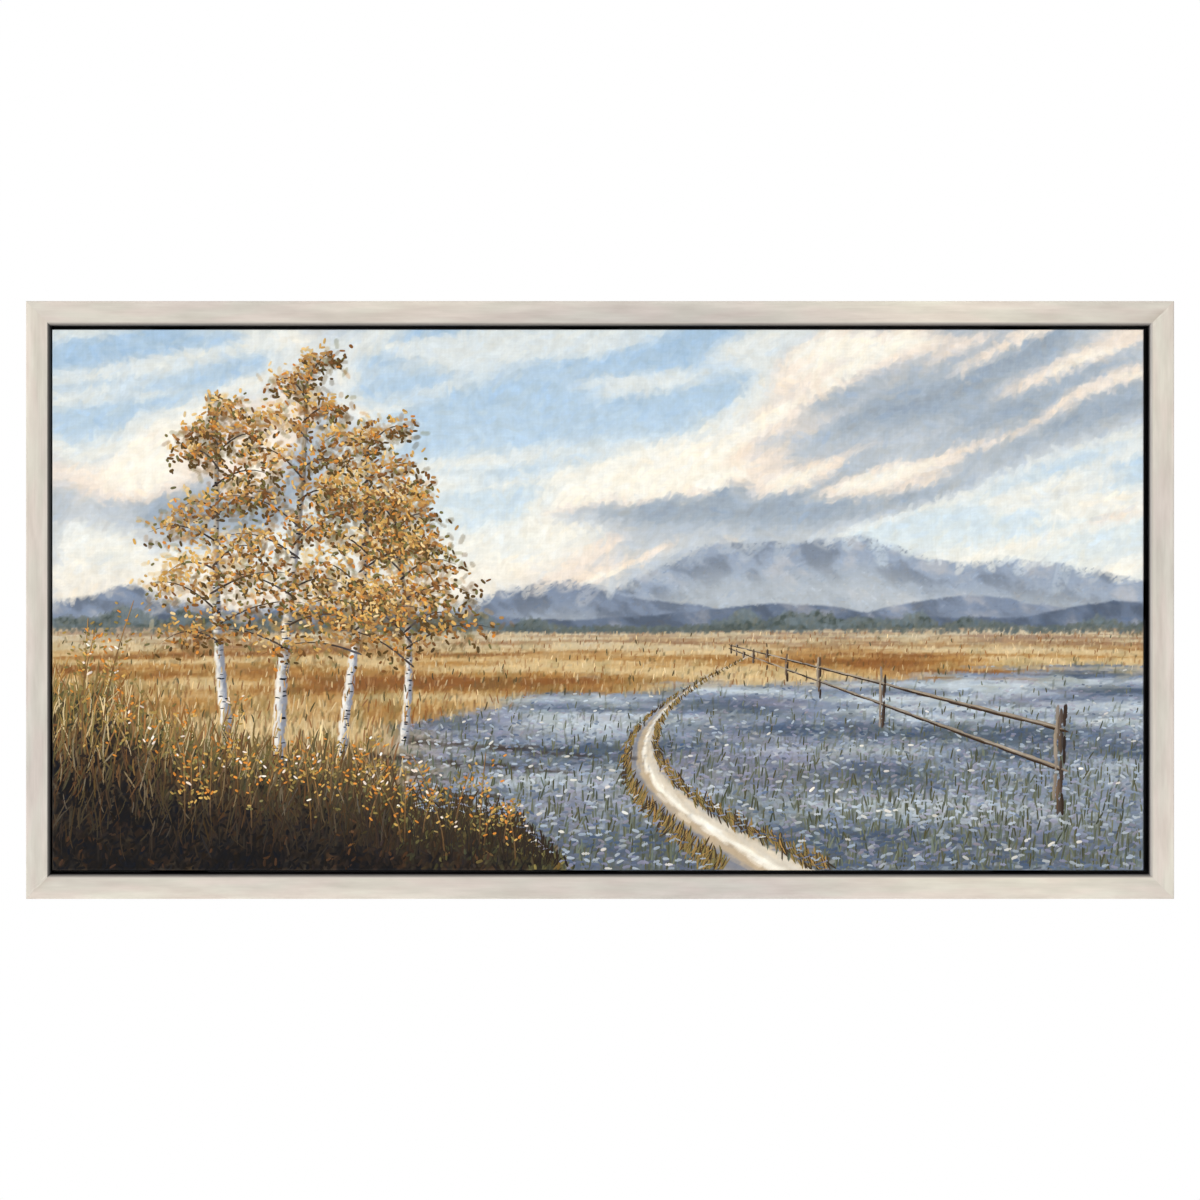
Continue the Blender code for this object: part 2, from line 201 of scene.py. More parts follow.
def limewashed_poplar():
    """Poplar brushed with cream limewash and wiped along the grain: matt, in long soft patches where the
    wash is thick and yellower or thin and greyer, with faint wiped streaks, brush lines and smudges."""
    material, tree, shader = new_material("limewashed_poplar", roughness=0.6, ior=1.45)
    along = add(tree, "UVMap", uv_map="grain").outputs["UV"]
    patches = drawn_out(tree, along, (460, 150), Detail=1.0)
    wash = add(
        tree, "ValToRGB", {"Fac": patches}, ramp=[(0.33, "#CAC4BF"), (0.50, "#D7D0C7"), (0.67, "#E3DCCF")],
    ).outputs[0]
    tint = drawn_out(tree, along, (75, 15), (3.0, 7.0, 0.0), Detail=1.0)
    tinted = toned_by(tree, wash, tint, [(0.38, "#FBFDFA"), (0.62, "#FFFBFA")])
    wiped = drawn_out(tree, along, (80, 13), Detail=3.0, Roughness=0.6)
    streaked = toned_by(tree, tinted, wiped, [(0.32, "#ECEAE9"), (0.64, "#FFFFFF")])

    # Brush lines are about half a millimetre apart. They are drawn twice as coarse, so that they show.
    brushed = drawn_out(tree, along, (90, 1.1), Detail=3.0, Roughness=0.6)
    lined = toned_by(tree, streaked, brushed, [(0.3, "#F6F5F3"), (0.7, "#FFFFFF")], 0.8)
    smudges = drawn_out(tree, along, (26, 8), (11.0, 2.0, 0.0), Detail=3.0, Roughness=0.6)
    grey = add(tree, "ValToRGB", {"Fac": smudges}, ramp=[(0.60, "#000000"), (0.78, "#6E6E6E")])
    worn = add(
        tree, "MixRGB", {"Fac": grey.outputs[0], "Color1": lined, "Color2": rgba("#C4BBAF")},
    ).outputs[0]
    around = add(tree, "SeparateXYZ", {"Vector": along})
    inwards = add(
        tree, "MapRange", {"Value": around.outputs["Y"], "From Min": -FACE_WIDTH, "From Max": 0.0},
    ).outputs[0]

    # At two of the mitres the wash was rubbed off the long rail, and filler was dabbed on the short one
    beside = add(tree, "UVMap", uv_map="mitre").outputs["UV"]
    from_mitre = add(tree, "SeparateXYZ", {"Vector": beside}).outputs["X"]
    rubbed = add(
        tree, "MapRange", {"Value": from_mitre, "From Min": -MITRE_WEAR, "From Max": MITRE_WEAR},
    ).outputs[0]
    inner = add(tree, "ValToRGB", {"Fac": inwards}, ramp=[(0.22, "#000000"), (0.50, "#FFFFFF")]).outputs[0]
    bare = [(0.0, "#FFFFFF"), (0.30, "#F9F8F7"), (0.49, "#F0EDEA"), (0.51, "#FFFFFF"), (1.0, "#FFFFFF")]
    thinned = toned_by(tree, worn, rubbed, bare, inner)
    dabs = drawn_out(tree, beside, (2.2, 9), (0.4, 1.7, 0.0), Detail=2.0)
    dabbed = add(tree, "MapRange", {"Value": dabs, "From Min": 0.46, "From Max": 0.62, "To Max": 0.75})
    near_mitre = add(
        tree, "ValToRGB", {"Fac": rubbed},
        ramp=[(0.0, "#000000"), (0.49, "#000000"), (0.51, "#FFFFFF"), (0.68, "#8A8A8A"), (0.90, "#000000")],
    )
    filler = add(tree, "Math", {0: dabbed.outputs[0], 1: near_mitre.outputs[0]}, operation="MULTIPLY")
    filler = add(tree, "Math", {0: filler.outputs[0], 1: inner}, operation="MULTIPLY").outputs[0]
    filled = add(tree, "MixRGB", {"Fac": filler, "Color1": thinned, "Color2": rgba("#E2DCD1")}).outputs[0]
    # The face is a little darker towards the lip: painted shade across the face
    thin = [(0.0, "#FFFFFF"), (0.25, "#FDFDFD"), (0.60, "#F8F8F8"), (1.0, "#F8F8F8")]
    shaded_to_lip = toned_by(tree, filled, inwards, thin)
    finish(tree, shader, shaded_to_lip, brushed, (0.52, 0.70), brushed, strength=0.25, depth=0.0002)
    return material


def black_channel_paint():
    """Satin black acrylic, brushed over the limewash: near black with a soft sheen, and thin and grey
    where it feathers out on the rounded lip."""
    material, tree, shader = new_material("black_channel_paint", roughness=0.38)
    along = add(tree, "UVMap", uv_map="grain").outputs["UV"]
    ragged = drawn_out(tree, along, (45, 6), Detail=2.0)
    across = add(tree, "SeparateXYZ", {"Vector": along})
    wander = add(tree, "MapRange", {"Value": ragged, "To Min": -PAINT_WANDER, "To Max": PAINT_WANDER})
    edge = add(tree, "Math", {0: across.outputs["Y"], 1: wander.outputs[0]}, operation="ADD")
    thickness = add(
        tree, "MapRange", {"Value": edge.outputs[0], "From Min": PAINT_EDGE[0], "From Max": PAINT_EDGE[1]},
    )
    colour = add(
        tree, "ValToRGB", {"Fac": thickness.outputs[0]},
        ramp=[
            (0.0, "#B4ADA3"), (0.08, "#8B857E"), (0.20, "#6D6864"),
            (0.36, "#464442"), (0.52, "#1E1E1F"), (1.0, "#0A0B0D"),
        ],
    )
    brushed = drawn_out(tree, along, (60, 1.2), Detail=2.0)
    finish(tree, shader, colour.outputs[0], brushed, (0.30, 0.48))
    return material


def bare_wood(name, grain_axis, pale, dark, knot, ring_mm, coordinates):
    """Planed softwood left bare: pale, with darker growth rings drawn out along the grain, fine
    pores and a few small knots. grain_axis is the axis that the grain runs along."""
    material, tree, shader = new_material(name, roughness=0.68, ior=1.45)
    if coordinates == "board":
        place = add(tree, "UVMap", uv_map="board").outputs["UV"]
    else:
        place = add(tree, "TexCoord").outputs["Object"]

    def along_grain(across_mm, along_mm):
        return tuple(along_mm if axis == grain_axis else across_mm for axis in range(3))

    ringed = add(tree, "Mapping", {"Vector": place, "Scale": per_metre(*along_grain(ring_mm, ring_mm * 26))})
    across_axis = "Z" if coordinates == "object" and grain_axis == 0 else "X" if grain_axis == 2 else "Y"
    rings = add(
        tree, "TexWave",
        {
            "Vector": ringed.outputs[0], "Scale": WAVE_TURN, "Distortion": 13.0,
            "Detail": 3.0, "Detail Scale": 0.22,
        },
        wave_type="BANDS", bands_direction=across_axis,
    )
    late = add(
        tree, "ValToRGB", {"Fac": rings.outputs["Fac"]}, ramp=[(0.0, dark), (0.30, pale), (0.95, pale)],
    )
    streaks = add(
        tree, "TexNoise", {"Vector": ringed.outputs[0], "Scale": 0.8, "Detail": 4.0, "Roughness": 0.6},
    )
    early = add(tree, "ValToRGB", {"Fac": streaks.outputs["Fac"]}, ramp=[(0.32, dark), (0.60, pale)])
    colour = add(tree, "MixRGB", {"Fac": 0.5, "Color1": late.outputs[0], "Color2": early.outputs[0]})
    pores = drawn_out(tree, place, along_grain(0.9, 30), Detail=2.0)
    grained = toned_by(tree, colour.outputs[0], pores, [(0.32, "#D9D2C8"), (0.62, "#FFFFFF")], 0.75)
    knot_place = add(tree, "Mapping", {"Vector": place, "Scale": per_metre(*along_grain(120, 210))})
    cells = add(tree, "TexVoronoi", {"Vector": knot_place.outputs[0], "Scale": 1.0})
    knots = add(
        tree, "ValToRGB", {"Fac": cells.outputs["Distance"]}, ramp=[(0.03, "#FFFFFF"), (0.075, "#000000")],
    )
    knotted = add(tree, "MixRGB", {"Fac": knots.outputs[0], "Color1": grained, "Color2": rgba(knot)})
    finish(tree, shader, knotted.outputs[0], height=pores, strength=0.35, depth=0.0003)
    return material


# Threads of the canvas lie about 0.5 mm apart. The weave is drawn more than twice as coarse, so that it
# shows.
THREAD_MM = 1.2
# Thick and thin threads show through the paint. They are drawn nearly five times as coarse as they are,
# for the same reason.
THREAD_SHOWN_MM = 2.4
# A wave texture of scale 1 repeats every twentieth of a full turn
WAVE_TURN = 2 * math.pi / 20


def weave_height(tree, place):
    """Height from 0 to 1 of a plain weave seen square on, over X and Z."""
    wander = add(tree, "TexNoise", {"Vector": place, "Scale": per_metre(9)[0], "Detail": 1.0})
    drift = add(
        tree, "MixRGB", {"Fac": 0.0006, "Color1": place, "Color2": wander.outputs["Color"]}, blend_type="ADD",
    )
    across, up = (
        add(
            tree, "TexWave", {"Vector": drift.outputs[0], "Scale": per_metre(THREAD_MM)[0] * WAVE_TURN},
            wave_type="BANDS", bands_direction=direction,
        ).outputs["Fac"]
        for direction in ("X", "Z")
    )
    return add(tree, "Math", {0: across, 1: up}, operation="MULTIPLY").outputs[0]


def painted(name, roughness_low, roughness_high):
    """Matt acrylic on primed canvas: each mark keeps its own colour, with uneven threads faint under it
    and a dull sheen that changes from mark to mark. The pits of the weave hold back most of the gloss."""
    material, tree, shader = new_material(name, roughness=roughness_high)
    shader.inputs["Specular IOR Level"].default_value = 0.10
    colour = add(tree, "Attribute", attribute_name="paint").outputs["Color"]
    place = add(tree, "TexCoord").outputs["Object"]
    patches = add(
        tree, "TexNoise", {"Vector": place, "Scale": per_metre(14)[0], "Detail": 2.0},
    ).outputs["Fac"]
    body = toned_by(tree, colour, patches, [(0.3, "#F4F3F1"), (0.7, "#FFFFFF")])
    upright = drawn_out(tree, place, (THREAD_SHOWN_MM, 20, 24), Detail=1.0)
    level = drawn_out(tree, place, (24, 20, THREAD_SHOWN_MM), Detail=1.0)
    both = add(tree, "Math", {0: upright, 1: level}, operation="ADD")
    slubs = add(tree, "MapRange", {"Value": both.outputs[0], "From Min": 0.75, "From Max": 1.25})
    threaded = toned_by(tree, body, slubs.outputs[0], [(0.0, "#FAFAF9"), (1.0, "#FFFFFF")])
    finish(
        tree, shader, threaded, patches, (roughness_low, roughness_high), weave_height(tree, place),
        strength=0.12, depth=0.0003,
    )
    return material


def raw_cloth():
    """The back of cotton duck: warm off-white, with the threads and small darker slubs plain to see."""
    material, tree, shader = new_material("raw_cotton_duck", roughness=0.92, ior=1.45)
    place = add(tree, "TexCoord").outputs["Object"]
    weave = weave_height(tree, place)
    slubs = add(
        tree, "TexNoise", {"Vector": place, "Scale": per_metre(4)[0], "Detail": 3.0, "Roughness": 0.7},
    )
    colour = add(
        tree, "ValToRGB", {"Fac": slubs.outputs["Fac"]},
        ramp=[(0.28, "#C9BDA4"), (0.42, "#DCD2BD"), (0.75, "#E6DDCB")],
    )
    # Darker where the weave is low: painted shade in the gaps between the threads
    shade_in_weave = toned_by(tree, colour.outputs[0], weave, [(0.0, "#D8D2C8"), (0.6, "#FFFFFF")], 0.8)
    finish(tree, shader, shade_in_weave, height=weave, strength=0.6, depth=0.0004)
    shader.inputs["Sheen Weight"].default_value = 0.15
    return material


def zinc_plate(name, dull, bright, roughness_low, roughness_high):
    """Zinc plated steel: pale grey metal, a little cloudy, with fine rolling scratches."""
    material, tree, shader = new_material(name, roughness=roughness_high, metallic=1.0)
    place = add(tree, "TexCoord").outputs["Object"]
    clouds = add(
        tree, "TexNoise", {"Vector": place, "Scale": per_metre(5)[0], "Detail": 4.0, "Roughness": 0.65},
    )
    colour = add(tree, "ValToRGB", {"Fac": clouds.outputs["Fac"]}, ramp=[(0.3, dull), (0.65, bright)])
    scratches = drawn_out(tree, place, (12, 0.3, 0.3), Detail=2.0)
    finish(tree, shader, colour.outputs[0], scratches, (roughness_low, roughness_high))
    return material


def cloudy_rubber():
    """Soft clear urethane gone a little milky: pale, smooth and slightly tacky looking."""
    material, tree, shader = new_material("cloudy_rubber", roughness=0.35, ior=1.49)
    place = add(tree, "TexCoord").outputs["Object"]
    haze = add(tree, "TexNoise", {"Vector": place, "Scale": per_metre(6)[0], "Detail": 3.0})
    colour = add(tree, "ValToRGB", {"Fac": haze.outputs["Fac"]}, ramp=[(0.3, "#B9BCB8"), (0.7, "#D6D8D4")])
    finish(tree, shader, colour.outputs[0])
    shader.inputs["Subsurface Weight"].default_value = 0.2
    shader.inputs["Subsurface Radius"].default_value = (0.004, 0.004, 0.004)
    return material


# ---------------------------------------------------------------- mesh helpers

def placed(name, data):
    """A new object in the scene with this mesh, light or camera."""
    obj = bpy.data.objects.new(name, data)
    bpy.context.scene.collection.objects.link(obj)
    return obj


def from_bmesh(bm, name):
    """A mesh with what the bmesh holds, which is then freed."""
    mesh = bpy.data.meshes.new(name)
    bm.to_mesh(mesh)
    bm.free()
    return mesh


def mesh_object(name, points, faces, materials, face_materials=None):
    """An object from an array or list of points and a list of faces."""
    mesh = bpy.data.meshes.new(name)
    mesh.from_pydata(np.asarray(points, float).tolist(), [], faces)
    for material in materials:
        mesh.materials.append(material)
    if face_materials is not None:
        mesh.polygons.foreach_set("material_index", np.asarray(face_materials, np.int32))
    mesh.update()
    return placed(name, mesh)


def corner_uvs(mesh, name, uvs):
    """Adds a UV map from one (u, v) for each vertex."""
    corners = np.empty(len(mesh.loops), np.int32)
    mesh.loops.foreach_get("vertex_index", corners)
    layer = mesh.uv_layers.new(name=name)
    layer.data.foreach_set("uv", np.asarray(uvs, np.float32)[corners].ravel())


def smooth(obj, degrees):
    obj.data.shade_smooth()
    obj.data.set_sharp_from_angle(angle=math.radians(degrees))


def applied(obj):
    """Turns the object's modifiers into plain mesh."""
    graph = bpy.context.evaluated_depsgraph_get()
    done = bpy.data.meshes.new_from_object(obj.evaluated_get(graph))
    obj.modifiers.clear()
    obj.data = done


# ---------------------------------------------------------------- frame rails

# For each side: the way inwards and the way along, as (x, z)
SIDES = {
    "left": ((1, 0), (0, 1)),
    "top": ((0, -1), (1, 0)),
    "right": ((-1, 0), (0, -1)),
    "bottom": ((0, 1), (-1, 0)),
}
RAIL_STEPS = 48
# The board that each rail was cut from: where its grain starts, how far off its heart lies, and how wide
# its rings are
BOARDS = {
    "left": (5.8, 0.0, 1.0),
    "top": (4.8, 0.31, 0.62),
    "right": (6.6, 0.77, 1.35),
    "bottom": (9.0, 1.22, 0.80),
}


def arc(centre, radius, start, end, steps):
    angles = np.radians(np.linspace(start, end, steps + 1))
    return [(centre[0] + radius * math.cos(a), centre[1] + radius * math.sin(a)) for a in angles]


def moulding_section():
    """The rail cut across: points (inwards, back from the face) and the finish of the side after each."""
    wall = FACE_WIDTH + LIP_RADIUS
    ledge = FRAME_DEPTH - LEDGE_THICKNESS
    back = FRAME_DEPTH - ARRIS_RADIUS
    stretches = [
        ("limewash", [(0.0, back * share) for share in (1.0, 0.66, 0.33)]),
        ("limewash", arc((ARRIS_RADIUS, ARRIS_RADIUS), ARRIS_RADIUS, 180, 270, 5)),
        ("limewash", [(FACE_WIDTH * share, 0.0) for share in (0.35, 0.7)]),
        ("black", arc((FACE_WIDTH, LIP_RADIUS), LIP_RADIUS, 270, 360, 8)),
        ("black", [(wall, (LIP_RADIUS + ledge) / 2), (wall, ledge)]),
        ("black", [((wall + RAIL_REACH) / 2, ledge)]),
        ("bare", [(RAIL_REACH, ledge), (RAIL_REACH, FRAME_DEPTH), (wall, FRAME_DEPTH)]),
        ("bare", arc((ARRIS_RADIUS, back), ARRIS_RADIUS, 90, 180, 4)[:-1]),
    ]
    points, finishes = [], []
    for finish_name, stretch in stretches:
        points += stretch
        finishes += [finish_name] * len(stretch)
    return np.array(points), finishes


def make_rail(side, finishes):
    """A mitred length of the moulding, with the grain's map: metres along, and metres round from the lip."""
    section, finish_names = moulding_section()
    inward, along = SIDES[side]
    half = (FRAME_HEIGHT if side in ("left", "right") else FRAME_WIDTH) / 2
    count = len(section)
    shares = np.linspace(-1.0, 1.0, RAIL_STEPS + 1)
    reach = half - section[:, 0] - MITRE_GAP
    run = shares[:, None] * reach[None, :]
    outer_x = (CAD_BOX[0].x + CAD_BOX[1].x) / 2 - inward[0] * FRAME_WIDTH / 2
    outer_z = (CAD_BOX[0].z + CAD_BOX[1].z) / 2 - inward[1] * FRAME_HEIGHT / 2
    x = outer_x + inward[0] * section[None, :, 0] + along[0] * run
    z = outer_z + inward[1] * section[None, :, 0] + along[1] * run
    y = np.broadcast_to(FRAME_LOW.y + section[None, :, 1], x.shape)
    points = np.stack([x, y, z], axis=-1).reshape(-1, 3)

    faces, numbers = [], []
    order = ["limewash", "black", "bare"]
    for step in range(RAIL_STEPS):
        for i in range(count):
            j = (i + 1) % count
            a, b = step * count + i, step * count + j
            faces.append([a, a + count, b + count, b])
            numbers.append(order.index(finish_names[i]))
    last = RAIL_STEPS * count
    faces.append(list(range(count)))
    faces.append([last + i for i in reversed(range(count))])
    numbers += [2, 2]
    rail = mesh_object("rail_" + side, points, faces, [finishes[name] for name in order], numbers)

    lengths = np.linalg.norm(np.roll(section, -1, axis=0) - section, axis=1)
    round_section = np.concatenate([[0.0], np.cumsum(lengths)[:-1]])
    lip = finish_names.index("black")
    start, heart, spread = BOARDS[side]
    # The black reaches a little farther over the left rail's lip, as painted shade on that lip, which is turned
    # from the key light
    left_painted_shade = LEFT_LIP_PAINTED_SHADE if side == "left" else 0.0
    across = np.broadcast_to(round_section - round_section[lip] + left_painted_shade, run.shape)
    corner_uvs(rail.data, "grain", np.stack([run + start, across], axis=-1).reshape(-1, 2))
    corner_uvs(rail.data, "board", np.stack([run + start, across * spread + heart], axis=-1).reshape(-1, 2))
    # Distance from a short rail's first mitre, and minus the distance from a long rail's last one
    from_mitre = reach + run if side in ("left", "right") else run - reach
    corner_uvs(rail.data, "mitre", np.stack([from_mitre, across], axis=-1).reshape(-1, 2))
    fix_outward(rail)
    return rail


def fix_outward(obj):
    bm = bmesh.new()
    bm.from_mesh(obj.data)
    bmesh.ops.recalc_face_normals(bm, faces=bm.faces)
    bm.to_mesh(obj.data)
    bm.free()


SOCKET_PLAY = 0.00025


def sockets_for(nodes, hull):
    """One mesh of the holes that these fittings sit in: their own shapes, made larger by the play."""
    bm = bmesh.new()
    for node in nodes:
        piece = bmesh.new()
        piece.from_mesh(frame["nodes"][node].data)
        bmesh.ops.remove_doubles(piece, verts=piece.verts, dist=1e-6)
        if hull:
            wrapped = bmesh.ops.convex_hull(piece, input=piece.verts)
            inner = [item for item in wrapped["geom_interior"] if isinstance(item, bmesh.types.BMVert)]
            bmesh.ops.delete(piece, geom=inner, context="VERTS")
            loose = [face for face in piece.faces if face not in set(wrapped["geom"])]
            bmesh.ops.delete(piece, geom=loose, context="FACES_ONLY")
        bmesh.ops.recalc_face_normals(piece, faces=piece.faces)
        piece.normal_update()
        for vertex in piece.verts:
            vertex.co += vertex.normal * SOCKET_PLAY
        # The mouth of the hole runs a little past the wood's back
        for vertex in piece.verts:
            if vertex.co.y > FRAME_HIGH.y - 2 * SOCKET_PLAY:
                vertex.co.y = FRAME_HIGH.y + 4 * SOCKET_PLAY
        mesh = from_bmesh(piece, "socket")
        bm.from_mesh(mesh)
        bpy.data.meshes.remove(mesh)
    return placed("sockets", from_bmesh(bm, "sockets"))


def make_frame(finishes):
    screws = [node for node in frame["nodes"] if node.startswith("fixing_screw")]
    v_nails = [node for node in frame["nodes"] if node.startswith("v_nail")]
    cutters = [sockets_for(screws, hull=True), sockets_for(v_nails, hull=False)]
    for side in SIDES:
        rail = make_rail(side, finishes)
        for cutter in cutters:
            hole = rail.modifiers.new("sockets", "BOOLEAN")
            hole.operation = "DIFFERENCE"
            hole.solver = "EXACT"
            hole.object = cutter
        applied(rail)
        smooth(rail, 30.0)
        flat = rail.modifiers.new("even shading", "WEIGHTED_NORMAL")
        flat.keep_sharp = True
        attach(rail, "root")
        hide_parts("frame_rail_" + side)
    for cutter in cutters:
        bpy.data.objects.remove(cutter)


# ---------------------------------------------------------------- the picture's design

def soft_noise(x, z, seed, octaves):
    """Soft random hills from 0 to 1, with about one to each unit of x and z."""
    table = np.random.default_rng(seed).random((64, 64))
    total, weight, reach = np.zeros_like(x), 1.0, 0.0
    for _ in range(octaves):
        cell_x, cell_z = np.floor(x).astype(int), np.floor(z).astype(int)
        right, up = x - cell_x, z - cell_z
        right, up = right * right * (3 - 2 * right), up * up * (3 - 2 * up)
        corner = [[table[(cell_x + i) % 64, (cell_z + j) % 64] for j in (0, 1)] for i in (0, 1)]
        low = corner[0][0] * (1 - right) + corner[1][0] * right
        high = corner[0][1] * (1 - right) + corner[1][1] * right
        total += weight * (low * (1 - up) + high * up)
        reach += weight
        weight *= 0.5
        # Each finer layer is turned, so that no grid shows
        x, z = 1.62 * x - 1.22 * z + 17.3, 1.22 * x + 1.62 * z + 5.1
    return total / reach


def ease(low, high, value):
    share = np.clip((value - low) / (high - low), 0.0, 1.0)
    return share * share * (3 - 2 * share)


def mixed(first, second, share):
    return first + (second - first) * np.asarray(share)[..., None]


INK = {name: srgb(colour) for name, colour in {
    "zenith": "#A6C0D8", "sky": "#BCD0E0", "pale_sky": "#D7E2E6", "haze": "#EBE7DC", "glow": "#EEE0CE",
    "cloud_light": "#F7F1E3", "cloud_warm": "#F0DFCF", "cloud_grey": "#CCD0D3", "cloud_shade": "#A5B0BC",
    "cloud_deep": "#909DAC",
    "ridge_far": "#95A2B5", "ridge_middle": "#7E8BA0", "ridge_near": "#667388", "mist": "#C3C8CA",
    "wood_far": "#6C787D", "wood_near": "#495350",
    "gold": "#AE844D", "pale_gold": "#D1B687", "burnt": "#81512B", "olive": "#71693F", "moss": "#3C3B26",
    "straw": "#E4CDA1", "flax": "#818C9F", "flax_light": "#BCC6CE", "flax_deep": "#475468",
    "lilac": "#938FA2",
    "stem": "#6F7769", "path": "#D6CBB9", "path_warm": "#BCA98F", "path_shade": "#80828B",
    "umber": "#342820", "pitch": "#100F11", "bark": "#EBE6DD", "bark_shade": "#878B97", "navy": "#212D47",
    "orange": "#CB8338", "amber": "#D1A559", "leaf_shade": "#574324",
    "post": "#5A4C42", "post_light": "#A19484",
}.items()}


def glazed(colour, *coats):
    """A colour, or the ink of that name, under thin coats. Each is an ink and how much it hides of what is
    below it."""
    if isinstance(colour, str):
        colour = INK[colour]
    for ink, share in coats:
        colour = mixed(colour, INK[ink], share)
    return colour


# Places in the picture are (s, t): right from its left edge and up from its foot, in picture heights.
ASPECT = PICTURE_WIDTH / PICTURE_HEIGHT
HORIZON = 0.445
CLOUD_SLANT = math.radians(9.0)

# Banks of cloud, and gaps between them: middle, reach each way, weight
CLOUD_BANKS = (
    (1.74, 0.90, 0.42, 0.13, 0.26), (0.98, 0.96, 0.26, 0.06, 0.16), (0.20, 0.70, 0.42, 0.07, 0.20),
    (1.28, 0.70, 0.38, 0.045, 0.22), (0.72, 0.80, 0.20, 0.05, 0.14), (1.95, 0.68, 0.20, 0.05, 0.12),
    (0.30, 0.95, 0.42, 0.10, -0.26), (1.26, 0.86, 0.24, 0.08, -0.18), (0.78, 0.62, 0.30, 0.05, -0.12),
)

# Ridges from far to near: foot, peaks (place, height, width), raggedness, seed, colour
RIDGES = (
    (0.490, ((1.47, 0.125, 0.24), (1.18, 0.070, 0.15), (1.86, 0.075, 0.20)), 0.050, 21, "ridge_far"),
    (0.465, ((0.93, 0.075, 0.22), (1.70, 0.055, 0.20), (0.08, 0.050, 0.30)), 0.040, 22, "ridge_middle"),
    (0.452, ((0.52, 0.036, 0.34), (1.34, 0.040, 0.22), (2.02, 0.045, 0.25)), 0.026, 23, "ridge_near"),
)


def ridge_top(s, foot, peaks, ragged, seed):
    top = np.full_like(s, foot)
    for place, height, width in peaks:
        top += height * np.exp(-((s - place) / width) ** 2)
    return top + ragged * (soft_noise(s / 0.15, np.full_like(s, seed), seed, 4) - 0.5)


def tree_line_top(s):
    crowns = soft_noise(s / 0.040, np.full_like(s, 3.0), 31, 3)
    groves = soft_noise(s / 0.26, np.full_like(s, 8.0), 32, 2)
    return HORIZON + 0.003 + 0.058 * np.clip(crowns - 0.15, 0, 1) * ease(0.30, 0.62, groves)


PATH_END = 0.405


def path_centre(t):
    share = np.clip(t / 0.40, 0.0, 1.0)
    return 1.33 - 0.34 * np.sin(share * 2.5) + 0.17 * share


def path_half_width(t):
    return 0.090 * np.clip(1.0 - t / 0.41, 0.0, 1.0) ** 1.7 + 0.0012


def thicket_top(s):
    body = 0.33 * np.clip(1.0 - s / 0.98, 0.0, 1.0) ** 0.75
    ragged = 0.10 * (soft_noise(s / 0.10, np.full_like(s, 4.0), 41, 4) - 0.5) * ease(1.05, 0.6, s)
    return body + ragged - 0.03 * ease(0.85, 1.05, s)


def ground(s, t):
    """Where a place below the horizon lies on level ground: sideways, and the distance away."""
    away = 1.0 / (np.clip(HORIZON - t, 0.0, None) + 0.035)
    return (s - 1.0) * away * 0.30, away * 0.36


def cloud_bank(s, t):
    """How thick the cloud is here, drawn out along a slant and thinner towards the horizon."""
    height = np.clip((t - HORIZON) / (1 - HORIZON), 0.0, 1.0)
    squeeze = 0.45 + 0.75 * height
    along = s * math.cos(CLOUD_SLANT) + t * math.sin(CLOUD_SLANT)
    across = t * math.cos(CLOUD_SLANT) - s * math.sin(CLOUD_SLANT)
    warp = soft_noise(along / 0.30, across / 0.14, 14, 3) - 0.5
    bank = soft_noise(
        (along + 0.10 * warp) / (0.52 * squeeze), (across + 0.055 * warp) / (0.19 * squeeze), 11, 5,
    )
    for middle_s, middle_t, reach_s, reach_t, weight in CLOUD_BANKS:
        bank = bank + weight * np.exp(-((s - middle_s) / reach_s) ** 2 - ((t - middle_t) / reach_t) ** 2)
    return bank


def sky_paint(s, t):
    height = np.clip((t - HORIZON) / (1 - HORIZON), 0.0, 1.0)
    colour = glazed(
        "haze", ("pale_sky", ease(0.05, 0.36, height)), ("sky", ease(0.25, 0.60, height)),
        ("zenith", ease(0.50, 1.0, height)), ("glow", 0.75 * ease(0.34, 0.0, height) * ease(1.5, 0.4, s)),
    )
    bank = cloud_bank(s, t)
    light = np.clip(0.50 + 5.2 * (bank - cloud_bank(s - 0.016, t + 0.020)), 0.0, 1.0)
    veil = soft_noise((s + 2.2 * t) / 0.50, (t - 0.16 * s) / 0.045, 12, 4)
    colour = mixed(colour, INK["cloud_light"], 0.60 * ease(0.50, 0.72, veil) * ease(0.10, 0.30, height))
    thick = ease(0.56, 0.80, bank)
    cloud = glazed(
        "cloud_grey", ("cloud_shade", thick), ("cloud_deep", 0.7 * thick * ease(0.45, 0.15, light)),
        ("cloud_warm", ease(0.48, 0.72, light)), ("cloud_light", ease(0.64, 0.92, light)),
    )
    cover = ease(0.485, 0.60, bank)
    rim = ease(0.46, 0.53, bank) * ease(0.62, 0.54, bank)
    colour = mixed(colour, INK["cloud_light"], 0.65 * rim * ease(0.05, 0.2, height))
    return mixed(colour, cloud, 0.94 * cover * (1 - 0.85 * rim))


def field_paint(s, t):
    """The open land under the horizon: the golden field, and drifts of blue-grey flax across it."""
    side, away = ground(s, t)
    near = ease(0.42, 0.10, t)
    swell = soft_noise(side / 0.9, away / 0.55, 51, 4)
    tuft = soft_noise(s / 0.030, t / 0.016, 52, 3)
    gold = glazed(
        "gold", ("pale_gold", ease(0.46, 0.66, swell)), ("burnt", 0.85 * ease(0.50, 0.30, swell)),
        ("olive", 0.75 * ease(0.50, 0.70, tuft) * (0.25 + 0.75 * near)),
        ("mist", 0.45 * ease(0.06, 0.0, HORIZON - t)),
    )
    bloom = soft_noise(side / 0.5, away / 0.20, 54, 4)
    flax = glazed(
        "flax", ("flax_light", ease(0.50, 0.70, bloom)), ("flax_deep", 0.9 * ease(0.50, 0.30, bloom)),
        ("lilac", 0.5 * ease(0.5, 0.8, soft_noise(side / 0.3, away / 0.3, 56, 2))),
        ("stem", 0.30 * ease(0.5, 0.7, tuft)), ("flax_deep", 0.45 * ease(0.16, 0.0, t)),
    )
    return mixed(gold, flax, flax_share(s, t))


